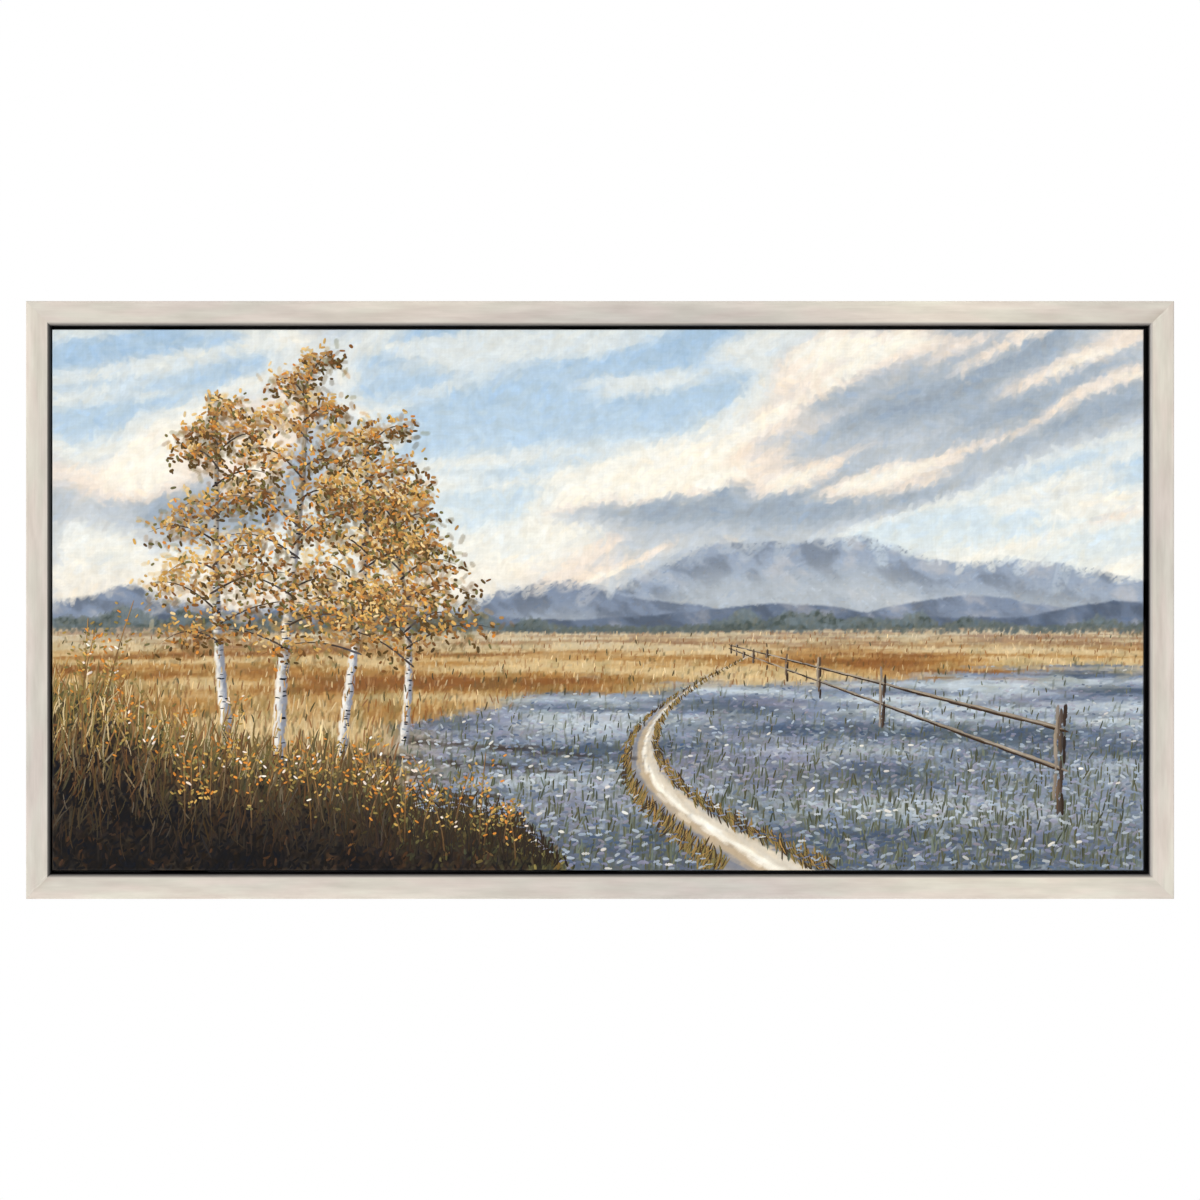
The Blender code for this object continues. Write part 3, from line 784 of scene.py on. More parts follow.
def flax_share(s, t):
    side, away = ground(s, t)
    edge = soft_noise(side / 0.6, away / 0.25, 57, 4) - 0.5
    top = 0.335 + 0.035 * ease(1.1, 1.9, s) - 0.10 * ease(1.0, 0.45, s)
    return ease(0.012, -0.012, t - top - 0.07 * edge) * ease(0.50, 0.75, s + 0.30 * edge)


SKY, RIDGE, GROVE, FIELD, FLAX, PATH, THICKET = range(7)
EDGE_SOFTNESS = 0.004


def within(margin):
    """How far a place lies inside an outline, from 0 to 1, going by its margin from it in picture heights."""
    return np.clip(margin / EDGE_SOFTNESS + 0.5, 0.0, 1.0)


def design(s, t):
    """The colour and the region at each place of the picture."""
    colour = sky_paint(s, t)
    region = np.full(s.shape, SKY)
    for foot, peaks, ragged, seed, ink in RIDGES:
        top = ridge_top(s, foot, peaks, ragged, seed)
        below = np.clip((top - t) / 0.10, 0.0, 1.0)
        face = soft_noise(s / 0.05 + t / 0.045, t / 0.06 - s / 0.12, seed + 5, 4)
        slope = mixed(INK[ink], INK[ink] * 0.84, ease(0.52, 0.32, face))
        slope = glazed(
            slope, ("cloud_warm", 0.26 * ease(0.54, 0.76, face)), ("mist", 0.62 * ease(0.25, 1.0, below)),
        )
        colour = mixed(colour, slope, within(top - t))
        region = np.where(t < top, RIDGE, region)
    top = tree_line_top(s)
    leafy = soft_noise(s / 0.022, t / 0.014, 33, 2)
    grove = mixed(INK["wood_far"], INK["wood_near"], ease(0.35, 0.65, leafy))
    colour = mixed(colour, grove, within(top - t))
    region = np.where(t < top, GROVE, region)
    edge = HORIZON + 0.004 * np.sin(4.0 * s + 0.7)
    inside = t < edge
    colour = mixed(colour, field_paint(s, t), within(edge - t))
    region = np.where(inside, FIELD, region)
    region = np.where(inside & (flax_share(s, t) > 0.5), FLAX, region)
    off_path = (s - path_centre(t)) / path_half_width(t)
    on_path = within((1 - np.abs(off_path)) * path_half_width(t)) * (t < PATH_END)
    side, away = ground(s, t)
    worn = soft_noise(side / 0.4, away / 0.12, 61, 3)
    track = glazed(
        "path", ("path_warm", ease(0.42, 0.62, worn)),
        ("path_shade", 0.8 * ease(0.1, -0.9, off_path) + 0.35 * ease(0.5, 0.3, worn)),
    )
    colour = mixed(colour, track, on_path)
    region = np.where(on_path > 0.5, PATH, region)
    top = thicket_top(s)
    leafy = soft_noise(s / 0.05, t / 0.05, 42, 4)
    rising = ease(0.10, 0.0, top - t)
    dark = glazed(
        "pitch", ("umber", ease(0.42, 0.62, leafy)),
        ("moss", 0.8 * ease(0.50, 0.68, leafy) * (0.35 + 0.65 * rising)),
        ("olive", 0.6 * rising * ease(0.45, 0.65, leafy)),
    )
    colour = mixed(colour, dark, within(top - t))
    region = np.where(t < top, THICKET, region)
    return colour, region


# ---------------------------------------------------------------- brushing

FILM_CELL = 0.0013
BRISTLES = 60
# How many ways the bristles of a brush may lie
BRISTLE_ROWS = 97


class Film:
    """Paint brushed over the whole face of the cloth: a grid of colours and of thickness in metres."""

    def __init__(self):
        self.x = np.linspace(0.0, PICTURE_WIDTH, round(PICTURE_WIDTH / FILM_CELL) + 1)
        self.z = np.linspace(0.0, PICTURE_HEIGHT, round(PICTURE_HEIGHT / FILM_CELL) + 1)
        s, t = np.meshgrid(self.x / PICTURE_HEIGHT, self.z / PICTURE_HEIGHT)
        self.colour, _ = design(s, t)
        self.thickness = np.zeros(s.shape)
        table = np.random.default_rng(81).random((BRISTLE_ROWS, BRISTLES + 2))
        self.bristles = (table[:, :-2] + 2 * table[:, 1:-1] + table[:, 2:]) / 4

    def brush(self, rows):
        """Draws each mark with soft sides, a dry ragged end and the streaks of its bristles."""
        step_x, step_z = self.x[1], self.z[1]
        for number, (s, t, angle, length, width, cover, bend, body, *ink) in enumerate(rows):
            ahead, aside = math.cos(angle), math.sin(angle)
            bow = abs(bend) * length / 4
            reach_x = (abs(ahead) * length + abs(aside) * width) / 2 + bow * abs(aside)
            reach_z = (abs(aside) * length + abs(ahead) * width) / 2 + bow * abs(ahead)
            middle_x, middle_z = s * PICTURE_HEIGHT, t * PICTURE_HEIGHT
            left, right = max(int((middle_x - reach_x) / step_x), 0), int((middle_x + reach_x) / step_x) + 2
            foot, top = max(int((middle_z - reach_z) / step_z), 0), int((middle_z + reach_z) / step_z) + 2
            off_x = self.x[left:right] - middle_x
            off_z = (self.z[foot:top] - middle_z)[:, None]
            if right <= 0 or top <= 0 or not len(off_x) or not len(off_z):
                continue
            along = (off_x * ahead + off_z * aside) * (2 / length)
            across = (off_z * ahead - off_x * aside) * (2 / width)
            across = across - bend * length / 2 / width * (1 - along * along)
            under = np.clip((across + 1) * (BRISTLES / 2), 0, BRISTLES - 1).astype(int)
            bristle = self.bristles[number % BRISTLE_ROWS][under]
            ragged = 0.9 * bristle * np.clip(along, 0, 1) ** 2
            whole = np.clip(2.3 * (1 - across * across - along ** 4 - ragged), 0, 1)
            share = cover * whole * (0.74 + 0.26 * bristle)
            patch = self.colour[foot:top, left:right]
            patch += (np.array(ink) * (0.965 + 0.07 * bristle)[..., None] - patch) * share[..., None]
            patch = self.thickness[foot:top, left:right]
            patch += (body * (0.35 + 0.9 * bristle) - patch) * share


TINT_SPREAD = 0.012


class Marks:
    """Brush marks for one part of the picture, to be brushed softly or to stand up on their own."""

    def __init__(self, seed):
        self.random = np.random.default_rng(seed)
        self.soft = []
        self.raised = []

    def lay(self, s, t, angle, length, width, colour, lift=0.0, bend=0.0, cover=0.7, body=0.00006):
        """Marks with their middles at (s, t), sizes in metres. With a lift, how far each stands off the
        cloth, they are raised."""
        count = len(np.atleast_1d(s))
        raised = lift > 0
        columns = [s, t, angle, length, width, lift if raised else cover, bend, body]
        columns = [np.broadcast_to(np.asarray(value, float), count) for value in columns]
        colour = np.broadcast_to(np.asarray(colour, float), (count, 3))
        rows = np.concatenate([np.stack(columns, axis=1), colour], axis=1)
        (self.raised if raised else self.soft).append(rows)

    def toned(self, colour, spread):
        """The colours, each made lighter or darker, and a little warmer or cooler, at random."""
        colour = np.atleast_2d(colour)
        tone = self.random.normal(0.0, spread, (len(colour), 1))
        warm = self.random.normal(0.0, TINT_SPREAD, (len(colour), 1)) * np.array([[1.0, 0.2, -1.0]])
        return np.clip(colour * (1 + tone) + warm, 0.0, 1.0)


def scattered(random, columns, rows, left=0.0, right=ASPECT, top=1.0):
    """One place in each cell of a grid over part of the picture, in random order."""
    cell_s, cell_t = np.meshgrid(np.arange(columns), np.arange(rows))
    s = left + (right - left) * (cell_s.ravel() + random.random(columns * rows)) / columns
    t = top * (cell_t.ravel() + random.random(columns * rows)) / rows
    order = random.permutation(len(s))
    return s[order], t[order]


def mark_angle(random, s, t, region):
    """The way the brush went: round the clouds, down the slopes, up the grass and across the path."""
    step = 0.012
    slope_s = cloud_bank(s + step, t) - cloud_bank(s - step, t)
    slope_t = cloud_bank(s, t + step) - cloud_bank(s, t - step)
    round_cloud = np.arctan2(-slope_s, slope_t)
    round_cloud = np.where(round_cloud > math.pi / 2, round_cloud - math.pi, round_cloud)
    round_cloud = np.where(round_cloud < -math.pi / 2, round_cloud + math.pi, round_cloud)
    angle = 0.55 * round_cloud + 0.35 + random.normal(0, 0.50, s.shape)
    slopes = np.where(random.random(s.shape) < 0.5, -0.62, 0.55) + random.normal(0, 0.25, s.shape)
    angle = np.where(region == RIDGE, slopes, angle)
    angle = np.where(region == GROVE, random.normal(1.57, 0.5, s.shape), angle)
    near = ease(0.38, 0.12, t)
    grass = np.where(
        random.random(s.shape) < near, random.normal(1.48, 0.22, s.shape), random.normal(0.02, 0.10, s.shape),
    )
    angle = np.where(region == FIELD, grass, angle)
    angle = np.where((region == PATH) | (region == FLAX), random.normal(0.02, 0.12, s.shape), angle)
    return np.where(region == THICKET, random.normal(1.35, 0.5, s.shape), angle)


# Coats over the whole picture: columns, rows, length and width in metres, spread of tone, cover, body
COATS = (
    (72, 36, 0.060, 0.020, 0.012, 0.42, 0.00004),
    (120, 62, 0.034, 0.011, 0.016, 0.50, 0.00006),
    (190, 96, 0.020, 0.0062, 0.020, 0.55, 0.00007),
)


def lay_coats(marks):
    random = marks.random
    for columns, rows, length, width, spread, cover, body in COATS:
        s, t = scattered(random, columns, rows)
        colour, region = design(s, t)
        land = region != SKY
        size = np.where((region == RIDGE) | (region == GROVE), 0.45, np.where(land, 0.75, 1.0))
        size = size * (1 - 0.45 * ease(0.20, 0.44, t) * land)
        flat = np.where((region == FLAX) | (region == PATH), 1.5, 1.0)
        angle = mark_angle(random, s, t, region)
        spread = spread * np.where(land, 2.2, 1.0)
        toned = colour * (1 + random.normal(0, 1, (len(s), 1)) * spread[:, None])
        marks.lay(
            s, t, angle, length * size * flat * random.uniform(0.7, 1.3, s.shape), width * size / flat,
            marks.toned(toned, 0.0), 0.0, random.normal(0, 0.18, s.shape), cover + 0.15 * land, body,
        )


# Birches: (foot s, foot t, top s, top t, half width at the foot), in picture heights
BIRCHES = (
    (0.330, 0.205, 0.290, 0.880, 0.0105),
    (0.425, 0.170, 0.465, 0.950, 0.0135),
    (0.545, 0.215, 0.585, 0.830, 0.0095),
    (0.655, 0.240, 0.640, 0.690, 0.0070),
)
BOUGHS_PER_BIRCH = 14
SHADOW_MARKS = 90


def birch_line(tree, share):
    """The middle of the trunk at this share of its height, with a slight sway."""
    foot_s, foot_t, top_s, top_t, _ = tree
    sway = 0.010 * np.sin(share * 5.0 + 9.0 * foot_s)
    return foot_s + (top_s - foot_s) * share + sway, foot_t + (top_t - foot_t) * share


def lay_birches(marks):
    random = marks.random
    leaves = []
    for tree in BIRCHES:
        foot_s, foot_t, _, top_t, half = tree
        tall = top_t - foot_t
        count = int(900 * tall)
        share = 0.94 * np.sort(random.random(count))
        side = random.uniform(-1, 1, count)
        s, t = birch_line(tree, share)
        taper = half * (1 - 0.85 * share)
        colour = glazed(
            "bark_shade", ("bark", ease(0.60, -0.60, side)), ("path_shade", 0.6 * ease(0.45, 1.0, side)),
            ("leaf_shade", 0.45 * ease(0.35, 0.8, share)),
        )
        marks.lay(
            s + side * taper * 0.8, t, random.normal(1.57, 0.10, count), random.uniform(0.010, 0.020, count),
            0.0012 + 0.0040 * (1 - share), marks.toned(colour, 0.03), cover=0.85,
        )
        rings = int(85 * tall)
        share = random.random(rings) ** 1.3
        s, t = birch_line(tree, share)
        taper = half * (1 - 0.85 * share)
        colour = mixed(INK["pitch"], INK["navy"], 0.6 * random.random(rings))
        marks.lay(
            s + random.choice((-0.55, 0.1, 0.60), rings) * taper, t, random.normal(0.0, 0.10, rings),
            taper * PICTURE_HEIGHT * random.uniform(0.35, 1.1, rings) + 0.001,
            random.uniform(0.0009, 0.0019, rings), marks.toned(colour, 0.10), 0.00016,
            random.normal(0, 0.1, rings),
        )
        for bough in range(BOUGHS_PER_BIRCH):
            start = 0.30 + 0.66 * (bough + random.random()) / BOUGHS_PER_BIRCH
            way = 1 if bough % 2 else -1
            reach = (0.17 - 0.12 * start) * random.uniform(0.7, 1.35)
            rise = 0.11 * random.uniform(0.5, 1.1)
            steps = np.linspace(0.0, 1.0, 9)
            root_s, root_t = birch_line(tree, np.array([start]))
            bough_s = root_s + way * reach * steps
            bough_t = root_t + rise * steps - 0.060 * steps ** 2.2
            angle = np.arctan2(np.gradient(bough_t), np.gradient(bough_s))
            colour = mixed(INK["umber"], INK["bark_shade"], 0.35 * random.random(len(steps)))
            marks.lay(
                bough_s, bough_t, angle, reach * PICTURE_HEIGHT / 7 + 0.005, 0.0022 * (1.2 - steps),
                marks.toned(colour, 0.08), 0.00014,
            )
            glow = random.normal(0.0, 0.16) - 0.10 * way
            for step in range(1, len(steps)):
                leaves.append((bough_s[step], bough_t[step], 0.034 - 0.012 * start, glow))
        for share in (0.88, 0.92, 0.96, 1.0):
            tip_s, tip_t = birch_line(tree, share)
            leaves.append((tip_s, tip_t, 0.026 - 0.016 * (share - 0.88) / 0.12, 0.05))
        # Its shadow on the grass
        run = random.random(SHADOW_MARKS)
        marks.lay(
            foot_s + 0.42 * run, foot_t - 0.035 * run + random.normal(0, 0.004, SHADOW_MARKS),
            random.normal(-0.08, 0.06, SHADOW_MARKS), 0.020, 0.0052 * (1 - 0.5 * run),
            marks.toned(np.tile(INK["umber"], (SHADOW_MARKS, 1)), 0.1), cover=0.26,
        )
    lay_leaves(marks, np.array(leaves))


def lay_leaves(marks, clumps):
    """Soft masses, then small dabs: amber where the light is, brown and olive beneath, with sky between."""
    random = marks.random
    for lift, per_clump, shade, scale in ((0.0, 7, 0.8, 1.7), (0.00018, 4, 0.6, 1.0), (0.00030, 6, 0.0, 0.9)):
        which = np.repeat(np.arange(len(clumps)), per_clump)
        place = clumps[which]
        off = np.clip(random.normal(0.0, 0.9, (len(which), 2)), -1.7, 1.7)
        s = place[:, 0] + off[:, 0] * place[:, 2] * 0.90
        t = place[:, 1] + off[:, 1] * place[:, 2] * 0.72 - 0.010 * shade
        light = 0.48 + place[:, 3] - 0.16 * off[:, 0] + 0.30 * off[:, 1] - 0.36 * shade
        light = np.clip(light + random.normal(0, 0.10, len(s)), 0, 1)
        colour = glazed(
            "leaf_shade", ("burnt", ease(0.0, 0.35, light)), ("gold", ease(0.20, 0.50, light)),
            ("amber", ease(0.48, 0.78, light)), ("straw", 0.8 * ease(0.78, 1.0, light)),
        )
        pick = random.random(len(s))[:, None]
        colour = np.where(pick < 0.05, INK["orange"], np.where(pick > 0.88, INK["olive"], colour))
        marks.lay(
            s, t, random.normal(-0.6, 0.9, len(s)), random.uniform(0.0045, 0.0085, len(s)) * scale,
            random.uniform(0.0024, 0.0038, len(s)) * scale, marks.toned(colour, 0.06), lift,
            cover=0.34, body=0.0001,
        )


def lay_grove(marks):
    """Round crowns of the far trees, lighter on their left."""
    random = marks.random
    s = random.uniform(0, ASPECT, 1800)
    top = tree_line_top(s)
    t = HORIZON - 0.004 + (top - HORIZON + 0.006) * random.random(s.shape)
    rising = np.clip((t - HORIZON) / 0.03, 0, 1)
    colour = glazed(
        "wood_near", ("wood_far", rising), ("olive", 0.35 * random.random(s.shape)),
        ("ridge_middle", 0.25),
    )
    marks.lay(
        s, t, random.normal(1.2, 0.5, s.shape), random.uniform(0.005, 0.009, s.shape), 0.0042,
        marks.toned(colour, 0.05), cover=0.6,
    )


def lay_grass(marks):
    """Grass in the golden field: short strokes far off, tall curved ones near, lit from the left."""
    random = marks.random
    for columns, rows, lift, keep_share in ((230, 60, 0.0, 1.0), (200, 40, 0.00014, 0.55)):
        s, t = scattered(random, columns, rows, top=0.44)
        colour, region = design(s, t)
        keep = (region == FIELD) & (random.random(s.shape) < keep_share)
        s, t, colour = s[keep], t[keep], colour[keep]
        near = ease(0.44, 0.06, t)
        light = random.random(s.shape)
        colour = glazed(
            colour, ("straw", 0.80 * ease(0.62, 0.95, light)), ("burnt", 0.75 * ease(0.34, 0.05, light)),
            ("moss", 0.75 * (random.random(s.shape) < 0.05 + 0.18 * near)),
        )
        thin = 0.60 if lift else 1.0
        marks.lay(
            s, t, random.normal(1.48, 0.20, s.shape),
            0.005 + 0.024 * near * random.uniform(0.5, 1.3, s.shape), (0.0022 + 0.0018 * near) * thin,
            marks.toned(colour, 0.05), lift, random.normal(0.0, 0.16, s.shape), cover=0.62, body=0.0001,
        )


def lay_flax(marks):
    """Flowers in loose drifts, each a short dab, with thin grey-green stems between them."""
    random = marks.random
    for columns, rows, lift in ((150, 70, 0.0), (120, 60, 0.00014)):
        s, t = scattered(random, columns, rows, left=0.45, top=0.42)
        colour, region = design(s, t)
        keep = (region == FLAX) & (random.random(s.shape) < ease(0.44, 0.20, t) + 0.10)
        s, t, colour = s[keep], t[keep], colour[keep]
        near = ease(0.40, 0.02, t)
        pick = random.random(s.shape)
        colour = glazed(
            colour, ("flax_light", 0.65 * (pick < 0.22)), ("lilac", 0.6 * (pick > 0.80)),
            ("flax_deep", 0.5 * ((pick > 0.3) & (pick < 0.45))),
        )
        stems = random.random(s.shape) < 0.10 + 0.30 * near
        green = mixed(INK["stem"], INK["moss"], 0.8 * random.random(s.shape))
        colour = np.where(stems[:, None], green, colour)
        gleam = ~stems & (random.random(s.shape) < 0.03)
        colour = mixed(colour, INK["cloud_light"], 0.65 * gleam)
        angle = np.where(stems, random.normal(1.5, 0.18, s.shape), random.normal(0.03, 0.35, s.shape))
        length = np.where(stems, 0.005 + 0.014 * near, 0.0040 + 0.0045 * near)
        width = np.where(stems, 0.0014 + 0.0006 * near, 0.0017 + 0.0018 * near)
        marks.lay(
            s, t, angle, length * random.uniform(0.8, 1.25, s.shape) * (1.0 if lift else 1.9),
            width * (1.0 if lift else 1.5), marks.toned(colour, 0.04), lift, cover=0.5, body=0.0001,
        )


def lay_path_edges(marks):
    """Tufts that lean over the path from both sides, and pale ruts along it."""
    random = marks.random
    for offset, ink in ((-0.55, "path_shade"), (-0.15, "path_warm"), (0.25, "cloud_light"), (0.60, "path")):
        t = 0.40 * random.random(260) ** 1.3
        slope = np.arctan2(np.full_like(t, 0.02), path_centre(t + 0.02) - path_centre(t))
        marks.lay(
            path_centre(t) + (offset + random.normal(0, 0.12, t.shape)) * path_half_width(t), t,
            slope + random.normal(0, 0.10, t.shape), 0.004 + 0.020 * ease(0.36, 0.0, t),
            0.0012 + 0.0050 * ease(0.36, 0.0, t), marks.toned(np.tile(INK[ink], (len(t), 1)), 0.03),
            cover=0.45,
        )
    count = 800
    t = 0.39 * random.random(count) ** 1.35
    way = np.where(random.random(count) < 0.5, -1.0, 1.0)
    near = ease(0.40, 0.02, t)
    s = path_centre(t) + way * path_half_width(t) * random.normal(1.10, 0.14, count)
    colour = glazed(
        "olive", ("gold", 0.8 * random.random(count)), ("umber", 0.8 * (random.random(count) < 0.4)),
    )
    marks.lay(
        s, t + 0.01 * near, random.normal(1.57, 0.3, count) + 0.35 * way, 0.004 + 0.018 * near,
        0.0012 + 0.0008 * near, marks.toned(colour, 0.06), 0.00016, 0.2 * way,
    )


FENCE_POSTS = 9
FENCE_NEAR = (1.86, 0.115, 0.185)
FENCE_FAR = (1.255, 0.402, 0.018)
# The fence's length on the ground, in distances from the eye to its nearest post
FENCE_RUN = 7.2


def lay_fence(marks):
    """A weathered post and rail fence that runs away beside the path. Each end is (s, t, post height)."""
    random = marks.random
    near, far = np.array(FENCE_NEAR), np.array(FENCE_FAR)
    # Equal spacing on the ground bunches up towards the far end
    distance = np.linspace(0.0, 1.0, FENCE_POSTS) * FENCE_RUN
    share = 1 - 1 / (1 + distance)
    share = share / share[-1]
    posts = near + (far - near) * share[:, None]
    for number, (s, t, tall) in enumerate(posts):
        if number + 1 < len(posts):
            ahead_s, ahead_t, ahead_tall = posts[number + 1]
            for level in (0.42, 0.82):
                gap = math.hypot(ahead_s - s, ahead_t - t)
                count = max(5, int(190 * gap))
                run = (np.arange(count) + 0.5) / count
                lower = random.random(count)
                rail_s = s + (ahead_s - s) * run
                height = tall + (ahead_tall - tall) * run
                rail_t = t + (ahead_t - t) * run + level * height - 0.042 * height * lower
                angle = math.atan2(ahead_t + level * ahead_tall - t - level * tall, ahead_s - s)
                colour = mixed(INK["post_light"], INK["umber"], ease(0.20, 0.80, lower))
                marks.lay(
                    rail_s, rail_t, angle + random.normal(0, 0.03, count),
                    0.005 + 0.22 * height * PICTURE_HEIGHT, 0.0010 + 0.011 * height,
                    marks.toned(colour, 0.07), 0.00022,
                )
        count = max(6, int(210 * tall))
        up = random.random(count)
        side = random.uniform(-1, 1, count)
        colour = glazed(
            "umber", ("post", ease(0.9, 0.0, side)), ("post_light", 0.9 * ease(-0.15, -0.9, side)),
        )
        for lift, wide in ((0.0, 1.3), (0.00026, 1.0)):
            marks.lay(
                s + side * 0.050 * tall + 0.03 * tall * up, t + up * tall, random.normal(1.54, 0.06, count),
                np.minimum(0.018, 0.30 * tall * PICTURE_HEIGHT), (0.0011 + 0.012 * tall) * wide,
                marks.toned(colour, 0.06), lift, cover=0.9,
            )


def lay_thicket(marks):
    """Dark leaves low on the left, then lit sprays, thin stalks and orange hips over them."""
    random = marks.random
    for lift, scale in ((0.0, 1.5), (0.00014, 0.72)):
        s, t = scattered(random, 96, 44, right=1.12, top=0.42)
        keep = t < thicket_top(s) + 0.012
        s, t = s[keep], t[keep]
        depth = np.clip((thicket_top(s) - t) / 0.20, 0, 1) + random.normal(0, 0.14, s.shape)
        colour = glazed(
            "olive", ("moss", ease(0.0, 0.25, depth)), ("umber", ease(0.15, 0.5, depth)),
            ("pitch", 0.9 * ease(0.40, 0.85, depth)),
            ("burnt", 0.5 * random.random(s.shape) * (random.random(s.shape) < 0.16)),
        )
        marks.lay(
            s, t, random.normal(1.1, 0.75, s.shape), random.uniform(0.007, 0.015, s.shape) * scale,
            random.uniform(0.0030, 0.0050, s.shape) * scale, marks.toned(colour, 0.08), lift,
            random.normal(0, 0.2, s.shape), cover=0.6, body=0.0001,
        )
    for count, lift, thin in ((1500, 0.0, 1.5), (1450, 0.00020, 1.0)):
        s = 1.05 * random.random(count) ** 1.1
        s = s[thicket_top(s) > 0.05 * random.random(count)]
        count = len(s)
        foot = thicket_top(s) * random.random(count) ** 0.55
        tall = random.uniform(0.014, 0.046, count) * (0.4 + 0.6 * ease(0.0, 0.10, thicket_top(s)))
        lean = random.normal(1.50, 0.30, count)
        high = np.clip(foot / 0.25, 0, 1)
        colour = glazed(
            "olive", ("gold", random.random(count) * (0.4 + 0.6 * high)),
            ("straw", 0.75 * (random.random(count) < 0.20 * high + 0.05)),
            ("burnt", 0.7 * (random.random(count) < 0.30)), ("umber", 0.90 * (1 - high)),
            ("pitch", 0.45 * (1 - high)),
        )
        marks.lay(
            s, foot + 0.5 * tall / PICTURE_HEIGHT * np.sin(lean), lean, tall,
            random.uniform(0.0012, 0.0022, count) * thin, marks.toned(colour, 0.07), lift,
            random.normal(0.0, 0.22, count), cover=0.6,
        )
    lay_sprays(marks)


SPRAYS = 30


def lay_sprays(marks):
    """Tall thin stalks that stand over the thicket, with small leaves and hips on them."""
    random = marks.random
    for spray in range(SPRAYS):
        root_s = 0.02 + 0.86 * (spray + random.random()) / SPRAYS
        root_t = thicket_top(np.array([root_s]))[0] * random.uniform(0.35, 0.85)
        tall = random.uniform(0.07, 0.20) * (1.15 - 0.5 * root_s)
        lean = random.normal(0.0, 0.22)
        steps = np.linspace(0.0, 1.0, 10)
        s = root_s + lean * tall * steps ** 1.5
        t = root_t + tall * steps
        angle = np.arctan2(np.gradient(t), np.gradient(s))
        colour = mixed(INK["umber"], INK["gold"], 0.3 + 0.6 * steps)
        marks.lay(
            s, t, angle, tall * PICTURE_HEIGHT / 7.5 + 0.003, 0.0016 * (1.15 - 0.5 * steps),
            marks.toned(colour, 0.08), 0.00034,
        )
        count = int(16 + 130 * tall)
        place = random.random(count) ** 0.6
        away = random.normal(0, 0.016, count)
        leaf_s = np.interp(place, steps, s) + away
        leaf_t = np.interp(place, steps, t) + 0.4 * np.abs(away) + random.normal(0, 0.006, count)
        colour = mixed(INK["olive"], INK["amber"], random.random(count))
        colour = np.where((random.random(count) < 0.30)[:, None], INK["orange"], colour)
        colour = np.where((random.random(count) < 0.08)[:, None], INK["cloud_warm"], colour)
        marks.lay(
            leaf_s, leaf_t, np.where(away > 0, 0.6, 2.5) + random.normal(0, 0.4, count),
            random.uniform(0.0030, 0.0060, count), random.uniform(0.0017, 0.0028, count),
            marks.toned(colour, 0.07), 0.00042,
        )


# The picture's parts from back to front: name, seed of its random marks, and what lays them
PARTS = (
    ("coats", 101, (lay_coats, lay_grove)),
    ("fields", 102, (lay_flax, lay_grass)),
    ("path_and_fence", 103, (lay_path_edges, lay_fence)),
    ("birches", 104, (lay_birches,)),
    ("thicket", 105, (lay_thicket,)),
)

# ---------------------------------------------------------------- the paint as mesh

FILM_TILES = (3, 2)
FILM_BASE = 0.00010
# Stations along a raised mark, as (share of its length from its middle, share of its width)
MARK_STATIONS = ((-0.36, 0.84), (0.0, 1.0), (0.36, 0.76))
MARK_SLOPE = 0.035
MARKS_PER_PIECE = 10500
# Paler colour over the fold: white primer showing through, and a painted highlight along the edge
FOLD_PRIMER_AND_HIGHLIGHT = "#F2F1EC"
FOLD_PRIMER_AND_HIGHLIGHT_SHARE = 0.05
# Over the fold means less than this far in from the cloth's edge
FOLD_REACH = FILM_CELL * 1.2


def coloured(mesh, colour):
    """Keeps one sRGB colour for each vertex, as linear light."""
    layer = mesh.attributes.new("paint", "FLOAT_COLOR", "POINT")
    values = np.concatenate([linear(colour), np.ones((len(colour), 1))], axis=1)
    layer.data.foreach_set("color", values.astype(np.float32).ravel())


def mesh_from_arrays(name, points, faces, material):
    """An object from arrays, for meshes too large to make point by point."""
    mesh = bpy.data.meshes.new(name)
    mesh.vertices.add(len(points))
    mesh.vertices.foreach_set("co", points.astype(np.float32).ravel())
    mesh.loops.add(faces.size)
    mesh.loops.foreach_set("vertex_index", faces.astype(np.int32).ravel())
    mesh.polygons.add(len(faces))
    mesh.polygons.foreach_set("loop_start", np.arange(0, faces.size, faces.shape[1], dtype=np.int32))
    mesh.update(calc_edges=True)
    mesh.materials.append(material)
    mesh.shade_smooth()
    return placed(name, mesh)


def fold_depth(distance):
    """How far the cloth has turned back at this distance in from its edge."""
    inside = np.clip(FOLD_RADIUS - distance, 0.0, FOLD_RADIUS)
    return FOLD_RADIUS - np.sqrt(FOLD_RADIUS ** 2 - inside ** 2)


